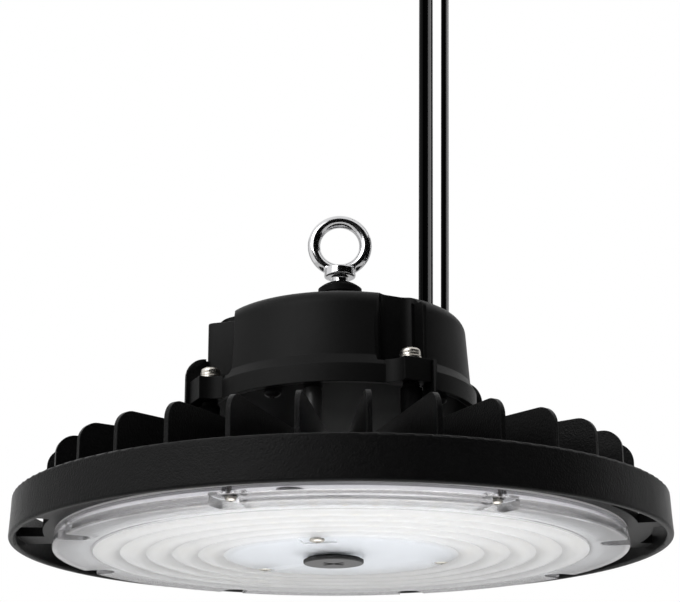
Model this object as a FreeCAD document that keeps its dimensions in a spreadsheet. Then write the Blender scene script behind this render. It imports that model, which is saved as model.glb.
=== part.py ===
"""Round high bay light: a finned cast heat sink with an outer rim, a driver housing on four stands,
a clear lens cover with ring prisms, an eye bolt to hang it by, and two cords to the ceiling.

Millimetres and degrees. Heights count from the rim's lower edge. The document's origin is the
centre of the eye that the light hangs by. Castings are drawn with their front along +X and turned
to face their own way.
"""
import math
import os

import FreeCAD
import Part
import Sketcher

Vector = FreeCAD.Vector
Z_AXIS = Vector(0, 0, 1)

doc = FreeCAD.newDocument("HighBayLight")
sheet = doc.addObject("Spreadsheet::Sheet", "Sizes")

DRIVING_SIZES = [
    # heat sink: rim
    ("rim_radius", 160.0, "outside of the rim at its lower edge"),
    ("rim_draft", 0.8, "how much the rim's radius shrinks up to its top"),
    ("rim_height", 20.2, "height of the rim"),
    ("rim_wall", 3.4, "thickness of the rim"),
    ("rim_round", 1.2, "rounding of the rim's edges"),
    # heat sink: plate, bridges and fins
    ("plate_radius", 144.0, "edge of the plate inside the vents"),
    ("plate_base", 5.0, "height of the plate's underside"),
    ("plate_thickness", 6.0, "thickness of the plate"),
    ("bridge_thickness", 4.5, "thickness of the bridges across the vents"),
    ("bridge_pairs", 5, "narrow bridges, and as many broad ones between them"),
    ("narrow_bridge_half", 4.0, "half angle of a narrow bridge"),
    ("broad_bridge_half", 13.5, "half angle of a broad bridge"),
    ("slot_half", 8.5, "half angle of the slot in a broad bridge"),
    ("slot_depth", 6.0, "radial width of that slot"),
    ("hub_radius", 33.0, "thick centre of the plate"),
    ("hub_top", 17.0, "height of the thick centre"),
    ("fin_count", 30, "cooling fins"),
    ("fin_thickness", 2.4, "thickness of a fin"),
    ("fin_top", 44.2, "height of the fins' tops"),
    ("fin_corner", 9.0, "rounding of a fin's outer top corner"),
    ("fin_inset", 0.6, "fin edge inside the plate's edge"),
    ("fin_inner_radius", 31.0, "inner ends of the fins"),
    ("casting_front", -109.2, "direction that the castings face"),
    # stands between the heat sink and the lugs
    ("stand_boss_radius", 7.0, "radius of the heat sink's bosses under the stands"),
    ("post_radius", 5.0, "radius of a stand's post"),
    ("foot_thickness", 2.0, "thickness of a stand's foot"),
    ("web_thickness", 1.8, "thickness of a stand's upright tab beside the lug"),
    ("web_gap", 0.4, "gap between a tab and its lug"),
    ("web_reach", 79.0, "outer edge of the tabs and feet"),
    ("web_foot_radius", 62.0, "inner edge of the tabs below the housing"),
    ("web_top", 90.0, "height of the tabs"),
    ("web_corner", 10.0, "rounding of a tab's outer top corner"),
    ("web_clearance", 0.8, "gap between a tab and the housing's flange"),
    # driver housing
    ("housing_base", 66.0, "height of the housing's lower edge"),
    ("flange_radius", 68.0, "outside of the flange"),
    ("flange_height", 9.0, "straight height of the flange"),
    ("shoulder_height", 5.0, "height of the slope above the flange"),
    ("wall_radius", 65.2, "outside of the wall above the flange"),
    ("wall_top_radius", 63.4, "outside of the wall under its rounded top"),
    ("housing_height", 47.5, "height of the housing to its flat top"),
    ("top_round", 8.0, "rounding of the housing's top edge"),
    ("housing_wall", 3.0, "thickness of the housing's wall"),
    ("boss_base_radius", 15.5, "foot of the eye bolt's boss"),
    ("boss_top_radius", 10.6, "top of the eye bolt's boss"),
    ("boss_height", 16.0, "height of the boss above the housing's top"),
    ("lug_screw_radius", 68.8, "circle of the lug screws"),
    ("front_lug_angle", 47.0, "front lugs from the casting's front"),
    ("rear_lug_angle", 138.0, "rear lugs from the casting's front"),
    ("lug_screw_shift", 0.8, "lug screws off the lugs' middles towards the tabs, an angle"),
    ("lug_half_width", 7.0, "half the width of a lug"),
    ("lug_reach", 77.2, "outer face of the lugs"),
    ("lug_root_half_width", 11.5, "half width where a lug's flared side leaves the flange"),
    ("lug_flare", 10.0, "radius of that flare"),
    ("lug_base", 66.0, "height of the lugs' undersides"),
    ("lug_height", 11.2, "thickness of the lugs"),
    ("recess_half_width", 9.7, "half the width of the screwdriver recess over a lug"),
    ("recess_back", 54.5, "back wall of that recess"),
    ("recess_corner", 6.0, "corner radius of the recess"),
    ("recess_lip", 5.0, "rounding where the recess meets the wall on its open side"),
    ("recess_mouth", 62.2, "where that rounding ends"),
    ("cheek_thickness", 1.9, "thickness of the cheek on the recess's other side"),
    ("cheek_foot", 58.0, "inner edge of the cheek"),
    ("cheek_reach", 66.3, "outer edge of the cheek"),
    ("cheek_top", 109.6, "height of the cheek"),
    ("cheek_corner", 3.0, "rounding of the cheek's outer top corner"),
    # closing plate under the driver
    ("closing_thickness", 2.5, "thickness of the closing plate"),
    ("closing_clearance", 0.3, "gap around the closing plate"),
    ("ledge_width", 2.6, "width of the ledge that the closing plate seals on"),
    ("gasket_thickness", 1.0, "thickness of both flat gaskets"),
    ("pillar_radius", 4.5, "radius of the pillars for the closing plate's screws"),
    ("pillar_circle", 57.2, "circle of those pillars"),
    ("pillar_count", 4, "number of those pillars"),
    ("pillar_angle", -15.0, "first pillar from the casting's front"),
    ("closing_screw_radius", 2.0, "shank of the closing plate's screws"),
    ("closing_screw_length", 12.0, "length of those screws under the head"),
    # driver
    ("board_standoff", 6.0, "height of the driver board over the closing plate"),
    ("board_length", 74.0, "length of the driver board"),
    ("board_width", 58.0, "width of the driver board"),
    ("board_thickness", 1.6, "thickness of both circuit boards"),
    ("standoff_radius", 3.0, "radius of the board's standoffs"),
    ("transformer_size", 26.0, "side of the transformer"),
    ("transformer_height", 20.0, "height of the transformer"),
    ("capacitor_radius", 6.5, "radius of the capacitors"),
    ("capacitor_height", 22.0, "height of the capacitors"),
    # lug screws
    ("lug_screw_shank", 2.5, "radius of the lug screws"),
    ("screw_gap", 0.15, "gap around a screw in its hole"),
    ("lug_screw_head", 4.6, "radius of the lug screws' heads"),
    ("lug_head_height", 3.4, "height of the lug screws' heads"),
    ("lug_screw_bite", 10.0, "screw length in the heat sink's boss"),
    ("lug_washer_radius", 5.2, "radius of the washers under the heads"),
    ("lug_washer_thickness", 1.7, "thickness of those washers"),
    ("spacer_thickness", 2.0, "thickness of the spacers between lugs and posts"),
    ("spacer_radius", 3.9, "radius of those spacers"),
    # lead duct
    ("duct_radius", 4.2, "outside of the lead duct"),
    ("duct_bore", 2.6, "inside of the lead duct"),
    ("duct_circle", 56.0, "distance of the lead duct from the centre"),
    ("duct_angle", 6.0, "lead duct from the casting's front"),
    # eye bolt
    ("eye_height", 156.2, "height of the eye's centre above the rim's lower edge"),
    ("eye_outer_radius", 16.56, "outside of the eye"),
    ("eye_hole_radius", 10.0, "inside of the eye"),
    ("eye_land", 0.1, "depth of the flat land trimmed inside the eye"),
    ("collar_radius", 8.15, "radius of the eye bolt's collar"),
    ("collar_drop", 12.3, "top of the collar below the eye's centre"),
    ("collar_height", 4.9, "height of the collar"),
    ("shank_radius", 4.0, "radius of the eye bolt's shank"),
    ("bore_clearance", 0.2, "gap around the shank in the boss"),
    ("shank_tail", 2.0, "shank beyond the nut"),
    ("nut_across_flats", 13.0, "width of the eye bolt's nut"),
    ("nut_height", 6.5, "height of that nut"),
    ("cap_radius", 11.15, "radius of the domed seal on the boss"),
    ("cap_skirt", 3.0, "straight height of the domed seal"),
    ("cap_dome", 4.3, "height of its dome"),
    # cord seal, cords and ceiling fitting
    ("seal_x", 49.1, "middle of the cord seal, across"),
    ("seal_y", 8.0, "middle of the cord seal, in depth"),
    ("seal_half_length", 11.6, "half the length of the seal's flange"),
    ("seal_half_width", 6.6, "half the width of the seal's flange"),
    ("seal_flange", 1.6, "thickness of the seal's flange"),
    ("seal_pad_margin", 0.4, "housing's pad beyond the seal's flange"),
    ("seal_pad_height", 1.0, "height of that pad over the housing's top"),
    ("seal_plug_inset", 1.6, "seal's plug inside its flange"),
    ("seal_clearance", 0.1, "gap around the seal's plug"),
    ("cord_spacing", 9.8, "distance between the cords at the seal"),
    ("mains_cord_radius", 3.75, "radius of the mains cord"),
    ("dimming_cord_radius", 2.1, "radius of the dimming cord"),
    ("sleeve_wall", 1.0, "wall of the seal's sleeves at their ends"),
    ("sleeve_flare", 0.6, "extra radius at the sleeves' feet"),
    ("mains_sleeve_length", 6.5, "height of the mains cord's sleeve"),
    ("dimming_sleeve_length", 4.5, "height of the dimming cord's sleeve"),
    ("mains_lean", 1.15, "lean of the mains cord from upright"),
    ("dimming_lean", 1.31, "lean of the dimming cord from upright"),
    ("ceiling_height", 322.0, "height of the ceiling fitting's face"),
    ("fitting_radius", 19.0, "radius of the ceiling fitting"),
    ("fitting_height", 14.0, "height of the ceiling fitting"),
    ("fitting_round", 3.0, "rounding of its lower edge"),
    # light engine
    ("led_board_radius", 135.2, "radius of the LED board"),
    ("thermal_pad_radius", 120.0, "radius of the thermal pad behind it"),
    ("board_hole_gap", 0.3, "gap around the bosses and the breather in the board"),
    ("pad_thickness", 0.4, "thickness of the thermal pad"),
    ("chip_size", 3.0, "side of an LED"),
    ("chip_height", 0.7, "height of an LED"),
    ("chips_inner_ring", 30, "LEDs on the inner ring"),
    ("chips_ring_step", 6, "more LEDs on each further ring"),
    # lens cover
    ("cover_radius", 139.4, "outside of the cover at its face"),
    ("cover_draft", 0.9, "how much the cover narrows up to the gasket"),
    ("cover_face", -3.6, "height of the cover's flat border"),
    ("cover_edge", 1.0, "rounding of the cover's lower edge"),
    ("cover_wall", 3.0, "thickness of the cover's side"),
    ("cover_skin", 2.2, "thickness of the cover's border"),
    ("ridge_count", 5, "ring prisms"),
    ("ridge_pitch", 12.5, "width of a ring prism"),
    ("ridge_start", 57.0, "inner edge of the inner prism"),
    ("ridge_rise", 1.6, "how far a prism bulges"),
    ("ridge_valley", -4.0, "height of the valleys between the prisms"),
    ("centre_face", -5.2, "height of the smooth centre"),
    ("centre_radius", 54.0, "radius of the smooth centre"),
    ("prism_skin", 2.0, "thickness under the prisms' valleys"),
    ("cover_front", -85.2, "direction that the cover faces"),
    ("boss_angle_front", 25.3, "front pair of the cover's screws from its front"),
    ("boss_angle_side", 71.6, "next pair"),
    ("boss_angle_back", 116.2, "next pair"),
    ("boss_angle_rear", 158.6, "rear pair"),
    ("boss_circle", 132.0, "circle of the cover's screws"),
    ("pocket_outer_half", 8.2, "half width of the pocket around a screw at the cover's side"),
    ("pocket_inner_half", 6.2, "half width of that pocket at its inner end"),
    ("pocket_inner", 126.3, "inner end of that pocket"),
    ("pocket_wall", 1.7, "thickness of the walls around that pocket"),
    ("boss_radius", 3.6, "radius of those bosses"),
    ("cover_screw_shank", 1.3, "radius of the cover's screws"),
    ("cover_screw_head", 2.6, "radius of their heads"),
    ("cover_head_height", 3.0, "height of their heads"),
    ("cover_head_sink", 4.5, "depth of the pockets under the screws"),
    ("cover_screw_bite", 4.0, "screw length in the plate"),
    ("gasket_margin", 0.2, "gasket inside the cover's rim"),
    # screws in the smooth centre
    ("centre_screw_count", 3, "screws in the smooth centre"),
    ("centre_screw_circle", 52.0, "circle of those screws"),
    ("centre_screw_angle", 7.0, "first of them from the casting's front"),
    ("centre_screw_shank", 1.9, "radius of those screws"),
    ("centre_screw_head", 3.8, "radius of their heads"),
    ("centre_head_height", 2.0, "height of their heads"),
    ("centre_boss", 8.0, "half side of the square boss around each"),
    ("centre_boss_sink", 0.9, "depth of the square recess under it"),
    ("centre_screw_bite", 4.5, "screw length in the plate"),
    # breather and port plug
    ("breather_radius", 5.8, "radius of the breather"),
    ("breather_height", 2.2, "height of the breather"),
    ("breather_stem", 3.0, "radius of its stem"),
    ("breather_stem_length", 4.0, "length of its stem in the plate"),
    ("breather_circle", 128.4, "distance of the breather from the centre"),
    ("breather_angle", 9.7, "breather from the casting's front"),
    ("plug_x", -3.7, "middle of the port plug, across"),
    ("plug_radius", 14.7, "radius of the port plug"),
    ("plug_height", 1.8, "thickness of its head"),
    ("plug_round", 0.5, "bevel of its head"),
    ("plug_neck", 9.8, "radius of its neck"),
    ("plug_neck_length", 5.6, "length of its neck"),
    ("plug_clearance", 0.2, "gap around its neck"),
    ("plug_slot_length", 12.0, "length of the crossed slots"),
    ("plug_slot_width", 2.2, "width of the crossed slots"),
    ("plug_slot_depth", 1.2, "depth of the crossed slots"),
    ("plug_seal_thickness", 0.8, "thickness of the ring seal under the plug"),
    ("plug_seal_radius", 13.2, "outside of the ring seal"),
]


class Size:
    """A number together with the sheet expression that it comes from."""

    def __init__(self, value, text):
        self.value = float(value)
        self.text = text

    def __add__(self, other):
        other = size(other)
        return Size(self.value + other.value, f"({self.text} + {other.text})")

    def __sub__(self, other):
        other = size(other)
        return Size(self.value - other.value, f"({self.text} - {other.text})")

    def __mul__(self, other):
        other = size(other)
        return Size(self.value * other.value, f"({self.text} * {other.text})")

    def __truediv__(self, other):
        other = size(other)
        return Size(self.value / other.value, f"({self.text} / {other.text})")

    def __neg__(self):
        return Size(-self.value, f"(0 - {self.text})")


def size(number):
    if isinstance(number, Size):
        return number
    return Size(number, repr(float(number)))


def cosine(angle):
    angle = size(angle)
    return Size(math.cos(math.radians(angle.value)), f"cos({angle.text})")


def sine(angle):
    angle = size(angle)
    return Size(math.sin(math.radians(angle.value)), f"sin({angle.text})")


def root(number):
    return Size(math.sqrt(number.value), f"sqrt({number.text})")


class Sheet:
    """Gives each driving size by its alias."""


for row, (alias, number, meaning) in enumerate(DRIVING_SIZES, 1):
    sheet.set(f"A{row}", alias)
    sheet.set(f"B{row}", str(number))
    sheet.set(f"C{row}", meaning)
    sheet.setAlias(f"B{row}", alias)
    setattr(Sheet, alias, Size(number, "Sizes." + alias))
doc.recompute()
S = Sheet

# Heights and places that more than one piece needs.
PLATE_TOP = S.plate_base + S.plate_thickness
RIM_INSIDE = S.rim_radius - S.rim_wall
HOUSING_TOP = S.housing_base + S.housing_height
CEILING_INSIDE = HOUSING_TOP - S.housing_wall
CLOSING_TOP = S.housing_base + S.closing_thickness
LEDGE = CLOSING_TOP + S.gasket_thickness
CAVITY_RADIUS = S.wall_radius - S.housing_wall
SEAT_RADIUS = CAVITY_RADIUS + S.ledge_width
BOSS_TOP = HOUSING_TOP + S.boss_height
LUG_TOP = S.lug_base + S.lug_height
POST_TOP = S.lug_base - S.spacer_thickness
WEB_OFFSET = S.lug_half_width + S.web_gap + S.web_thickness / 2
BOARD_TOP = S.plate_base - S.pad_thickness
BOARD_FACE = BOARD_TOP - S.board_thickness
COVER_TOP = S.plate_base - S.gasket_thickness
COVER_TOP_RADIUS = S.cover_radius - S.cover_draft
RIDGE_END = S.ridge_start + S.ridge_pitch * S.ridge_count
SEAL_BASE = HOUSING_TOP + S.seal_pad_height
SEAL_STRAIGHT = S.seal_half_length - S.seal_half_width
PLUG_HALF_WIDTH = S.seal_half_width - S.seal_plug_inset
COVER_SEAT = S.cover_face + S.cover_head_sink
COVER_TURN = S.cover_front - S.casting_front
# Each lug with its angle, the angle of its screw and the side that its tab is on.
LUGS = [
    ("Front", S.front_lug_angle, S.front_lug_angle + S.lug_screw_shift, 1),
    ("Rear", S.rear_lug_angle, S.rear_lug_angle - S.lug_screw_shift, -1),
]


def bind(thing, prop, amount):
    thing.setExpression(prop, size(amount).text)


def place(thing, x=0, y=0, z=0, turn=None):
    """Put a sub-part at x, y and a height above the rim's lower edge, turned about the vertical."""
    turn = size(0 if turn is None else turn)
    thing.Placement = FreeCAD.Placement(Vector(), FreeCAD.Rotation(Z_AXIS, turn.value or 1))
    bind(thing, "Placement.Rotation.Angle", turn)
    bind(thing, "Placement.Base.x", x)
    bind(thing, "Placement.Base.y", y)
    bind(thing, "Placement.Base.z", size(z) - S.eye_height)


def body(label):
    made = doc.addObject("PartDesign::Body", label)
    made.Label = label
    return made


def datum(owner, role):
    return next(item for item in owner.Origin.OriginFeatures if item.Role == role)


def flat_sketch(owner, label, height=0, turn=0):
    """Sketch seen from above, at a height and turned about the vertical."""
    made = owner.newObject("Sketcher::SketchObject", label)
    made.AttachmentSupport = [(datum(owner, "XY_Plane"), "")]
    made.MapMode = "FlatFace"
    made.AttachmentOffset = FreeCAD.Placement(Vector(), FreeCAD.Rotation(Z_AXIS, 1))
    bind(made, "AttachmentOffset.Rotation.Angle", turn)
    bind(made, "AttachmentOffset.Base.z", height)
    return made


def radial_sketch(owner, label, turn=0, aside=0):
    """Upright sketch whose x runs outward at an angle, moved sideways by an amount."""
    made = owner.newObject("Sketcher::SketchObject", label)
    made.AttachmentSupport = [(datum(owner, "XZ_Plane"), "")]
    made.MapMode = "FlatFace"
    made.AttachmentOffset = FreeCAD.Placement(Vector(), FreeCAD.Rotation(Vector(0, 1, 0), 1))
    bind(made, "AttachmentOffset.Rotation.Angle", turn)
    bind(made, "AttachmentOffset.Base.x", -(size(aside) * sine(turn)))
    bind(made, "AttachmentOffset.Base.z", -(size(aside) * cosine(turn)))
    return made


def fix_point(sketch, edge, end, x, y):
    for kind, amount in (("DistanceX", size(x)), ("DistanceY", size(y))):
        index = sketch.addConstraint(Sketcher.Constraint(kind, edge, end, amount.value))
        sketch.setExpression(f"Constraints[{index}]", amount.text)


def outline(sketch, *corners):
    """Closed outline through corners (x, y). A third number is the radius of an arc that leads to
    that corner, above 0 turning left and below 0 turning right. A line closes it."""
    points = [Vector(size(c[0]).value, size(c[1]).value, 0) for c in corners]
    ends = []
    for step, corner in enumerate(corners):
        start, stop = points[step - 1], points[step]
        if len(corner) == 2:
            edge = sketch.addGeometry(Part.LineSegment(start, stop))
            ends.append((edge, 1, 2))
            continue
        radius = size(corner[2])
        turn_left = radius.value > 0
        chord = stop - start
        normal = Vector(-chord.y, chord.x, 0).normalize()
        reach = math.sqrt(max(radius.value ** 2 - chord.Length ** 2 / 4, 0))
        middle = (start + stop) * 0.5 + normal * (reach if turn_left else -reach)
        first, last = (start, stop) if turn_left else (stop, start)
        angles = [math.atan2(point.y - middle.y, point.x - middle.x) for point in (first, last)]
        if angles[1] <= angles[0]:
            angles[1] += 2 * math.pi
        circle = Part.Circle(middle, Z_AXIS, abs(radius.value))
        edge = sketch.addGeometry(Part.ArcOfCircle(circle, *angles))
        ends.append((edge, 1, 2) if turn_left else (edge, 2, 1))
        if reach < 1e-3:
            # A half circle between two points above each other is held by its middle.
            index = sketch.addConstraint(Sketcher.Constraint("DistanceX", edge, 3, middle.x))
            sketch.setExpression(f"Constraints[{index}]", size(corner[0]).text)
            continue
        index = sketch.addConstraint(Sketcher.Constraint("Radius", edge, abs(radius.value)))
        sketch.setExpression(f"Constraints[{index}]", (radius if turn_left else -radius).text)
    for step, corner in enumerate(corners):
        edge, start_end, stop_end = ends[step]
        after, after_start, _ = ends[(step + 1) % len(ends)]
        sketch.addConstraint(Sketcher.Constraint("Coincident", edge, stop_end, after, after_start))
        fix_point(sketch, edge, stop_end, corner[0], corner[1])


def round_spot(sketch, x, y, radius):
    centre = Vector(size(x).value, size(y).value, 0)
    edge = sketch.addGeometry(Part.Circle(centre, Z_AXIS, size(radius).value))
    fix_point(sketch, edge, 3, x, y)
    index = sketch.addConstraint(Sketcher.Constraint("Radius", edge, size(radius).value))
    sketch.setExpression(f"Constraints[{index}]", size(radius).text)


def ring_sector(sketch, inner, outer, first, last):
    """Part of a ring between two angles."""
    outline(
        sketch,
        (inner * cosine(first), inner * sine(first), -inner),
        (outer * cosine(first), outer * sine(first)),
        (outer * cosine(last), outer * sine(last), outer),
        (inner * cosine(last), inner * sine(last)),
    )


def oval(sketch, straight, half_width, x=0, y=0):
    """Oval with round ends, long along x. Straight is half the distance between its ends' centres."""
    x, y = size(x), size(y)
    outline(
        sketch,
        (x - straight, y - half_width, half_width),
        (x + straight, y - half_width),
        (x + straight, y + half_width, half_width),
        (x - straight, y + half_width),
    )


def slab(kind, owner, sketch, label, depth, both_ways=False, upward=True):
    """Pad or Pocket of a sketch. Upward is towards +Z from a flat sketch."""
    made = owner.newObject("PartDesign::" + kind, label)
    made.Profile = sketch
    made.Midplane = both_ways
    made.Reversed = (kind == "Pocket") == upward and not both_ways
    bind(made, "Length", depth)
    owner.Tip = made
    return made


def spin(kind, owner, sketch, label):
    made = owner.newObject("PartDesign::" + kind, label)
    made.Profile = sketch
    made.ReferenceAxis = (sketch, ["V_Axis"])
    made.Angle = 360
    owner.Tip = made
    return made


def around(owner, features, label, count):
    made = owner.newObject("PartDesign::PolarPattern", label)
    made.Originals = features
    made.Axis = (datum(owner, "Z_Axis"), [""])
    made.Angle = 360
    bind(made, "Occurrences", count)
    owner.Tip = made
    return made


def mirrored(owner, features, label):
    made = owner.newObject("PartDesign::Mirrored", label)
    made.Originals = features
    made.MirrorPlane = (datum(owner, "XZ_Plane"), [""])
    owner.Tip = made
    return made


def holes(owner, label, spots, radius, height, depth, turn=0, upward=True):
    """Round pockets at spots (x, y) of a flat sketch at a height."""
    sketch = flat_sketch(owner, label + "Sketch", height, turn)
    for x, y in spots:
        round_spot(sketch, x, y, radius)
    return slab("Pocket", owner, sketch, label, depth, upward=upward)


def heat_sink():
    """One casting: plate, rim, bridges, fins and the bosses under the stands."""
    made = body("heat_sink")
    profile = radial_sketch(made, "PlateAndRim")
    rim_top_radius = S.rim_radius - S.rim_draft
    r = S.rim_round
    outline(
        profile,
        (0, S.plate_base),
        (RIM_INSIDE, S.plate_base),
        (RIM_INSIDE, r),
        (RIM_INSIDE + r, 0, r),
        (S.rim_radius - r, 0),
        (S.rim_radius, r, r),
        (rim_top_radius, S.rim_height - r),
        (rim_top_radius - r, S.rim_height, r),
        (RIM_INSIDE, S.rim_height),
        (RIM_INSIDE, S.plate_base + S.bridge_thickness),
        (S.plate_radius, S.plate_base + S.bridge_thickness),
        (S.plate_radius, PLATE_TOP),
        (S.hub_radius, PLATE_TOP),
        (S.hub_radius, S.hub_top),
        (0, S.hub_top),
    )
    spin("Revolution", made, profile, "PlateAndRimCast")

    vent_sketch = flat_sketch(made, "VentSketch", S.plate_base)
    pair_angle = size(360) / S.bridge_pairs
    vent_end = pair_angle / 2 - S.broad_bridge_half
    ring_sector(vent_sketch, S.plate_radius, RIM_INSIDE, S.narrow_bridge_half, vent_end)
    ring_sector(vent_sketch, S.plate_radius, RIM_INSIDE, -vent_end, -S.narrow_bridge_half)
    vents = slab("Pocket", made, vent_sketch, "Vents", S.bridge_thickness * 2, both_ways=True)
    slot_sketch = flat_sketch(made, "SlotSketch", S.plate_base, pair_angle / 2)
    ring_sector(slot_sketch, RIM_INSIDE - S.slot_depth, RIM_INSIDE, -S.slot_half, S.slot_half)
    slots = slab("Pocket", made, slot_sketch, "BridgeSlot", S.bridge_thickness * 2, both_ways=True)
    around(made, [vents, slots], "VentsAround", S.bridge_pairs)

    fin_sketch = radial_sketch(made, "FinSketch")
    fin_edge = S.plate_radius - S.fin_inset
    fin_foot = S.plate_base + S.plate_thickness / 2
    outline(
        fin_sketch,
        (S.fin_inner_radius, fin_foot),
        (fin_edge, fin_foot),
        (fin_edge, S.fin_top - S.fin_corner),
        (fin_edge - S.fin_corner, S.fin_top, S.fin_corner),
        (S.fin_inner_radius, S.fin_top),
    )
    fin = slab("Pad", made, fin_sketch, "Fin", S.fin_thickness, both_ways=True)
    around(made, [fin], "Fins", S.fin_count)

    bosses = []
    for label, _, angle, _ in LUGS:
        boss_sketch = flat_sketch(made, label + "StandBossSketch", PLATE_TOP, angle)
        round_spot(boss_sketch, S.lug_screw_radius, 0, S.stand_boss_radius)
        bosses.append(slab("Pad", made, boss_sketch, label + "StandBoss", S.fin_top - PLATE_TOP))
        bosses.append(holes(made, label + "StandBossHole", [(S.lug_screw_radius, 0)],
                            S.lug_screw_shank + S.screw_gap, S.fin_top,
                            S.lug_screw_bite + S.screw_gap, angle, upward=False))
    mirrored(made, bosses, "StandBosses")

    holes(made, "CoverScrewHoles", cover_spots(), S.cover_screw_shank + S.screw_gap,
          S.plate_base, S.cover_screw_bite + S.screw_gap, COVER_TURN)
    centre_hole = holes(made, "CentreScrewHole", [(S.centre_screw_circle, 0)],
                        S.centre_screw_shank + S.screw_gap, S.plate_base,
                        S.centre_screw_bite + S.screw_gap, S.centre_screw_angle)
    around(made, [centre_hole], "CentreScrewHoles", S.centre_screw_count)
    holes(made, "BreatherHole", [(S.breather_circle, 0)], S.breather_stem + S.screw_gap,
          S.plate_base, S.plate_thickness, S.breather_angle)
    holes(made, "LeadHole", [(S.duct_circle, 0)], S.duct_bore, S.plate_base, S.plate_thickness,
          S.duct_angle)
    place(made, turn=S.casting_front)
    return made


def stand(label, angle, screw_angle, side):
    """Stand for one lug: a post on a foot, and a tab that rises beside the lug."""
    made = body(label)
    outer = WEB_OFFSET + S.web_thickness / 2
    foot = flat_sketch(made, label + "FootSketch", S.fin_top, angle)
    outline(
        foot,
        (S.web_foot_radius, -(S.post_radius * side)),
        (S.web_reach, -(S.post_radius * side)),
        (S.web_reach, outer * side),
        (S.web_foot_radius, outer * side),
    )
    slab("Pad", made, foot, label + "Foot", S.foot_thickness)
    post = flat_sketch(made, label + "PostSketch", S.fin_top, screw_angle)
    round_spot(post, S.lug_screw_radius, 0, S.post_radius)
    slab("Pad", made, post, label + "Post", POST_TOP - S.fin_top)
    tab = radial_sketch(made, label + "TabSketch", angle, WEB_OFFSET * side)
    tab_inner = S.flange_radius + S.web_clearance
    under_housing = S.housing_base - S.spacer_thickness
    outline(
        tab,
        (S.web_foot_radius, S.fin_top),
        (S.web_reach, S.fin_top),
        (S.web_reach, S.web_top - S.web_corner),
        (S.web_reach - S.web_corner, S.web_top, S.web_corner),
        (tab_inner, S.web_top),
        (tab_inner, under_housing),
        (S.web_foot_radius, under_housing),
    )
    slab("Pad", made, tab, label + "Tab", S.web_thickness, both_ways=True)
    holes(made, label + "StandHole", [(S.lug_screw_radius, 0)], S.lug_screw_shank + S.screw_gap,
          POST_TOP, POST_TOP - S.fin_top, screw_angle, upward=False)
    return made


def housing_stands():
    """The four stands: a front and a rear one, and their mirror images."""
    stands = [stand(label + "Stand", *where) for label, *where in LUGS]
    images = []
    for one in stands:
        image = doc.addObject("Part::Mirroring", one.Label + "Image")
        image.Source = one
        image.Normal = Vector(0, 1, 0)
        images.append(image)
    made = doc.addObject("Part::Compound", "housing_stands")
    made.Links = stands + images
    place(made, turn=S.casting_front)
    return made


def lug_outline(sketch, side):
    """A lug from above: straight beside its guide web, flared into the flange on the other side."""
    root_radius = S.flange_radius - 1
    inside = S.wall_radius
    flare_end = root_radius + root(S.lug_flare * S.lug_flare
                                   - (S.lug_flare - S.lug_root_half_width + S.lug_half_width)
                                   * (S.lug_flare - S.lug_root_half_width + S.lug_half_width))
    web_edge = S.lug_half_width * side
    flared_edge = -(S.lug_half_width * side)
    root_edge = -(S.lug_root_half_width * side)
    corners = [
        (inside, root_edge),
        (root_radius, root_edge),
        (flare_end, flared_edge, -(S.lug_flare * side)),
        (S.lug_reach, flared_edge),
        (S.lug_reach, web_edge),
        (inside, web_edge),
    ]
    outline(sketch, *corners)


def recess_outline(sketch, side):
    """The screwdriver recess over a lug: a channel with rounded corners, open outwards. Its mouth
    is rounded on one side, and a cheek stands on the other."""
    w = S.recess_half_width * side
    c = S.recess_corner * side
    lip = S.recess_lip * side
    far = S.lug_reach + 1
    outline(
        sketch,
        (S.recess_back, w - c, c),
        (S.recess_back, c - w),
        (S.recess_back + S.recess_corner, -w, c),
        (S.recess_mouth - S.recess_lip, -w),
        (S.recess_mouth, -(w + lip), -lip),
        (far, -(w + lip)),
        (far, w),
        (S.recess_back + S.recess_corner, w),
    )


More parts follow.
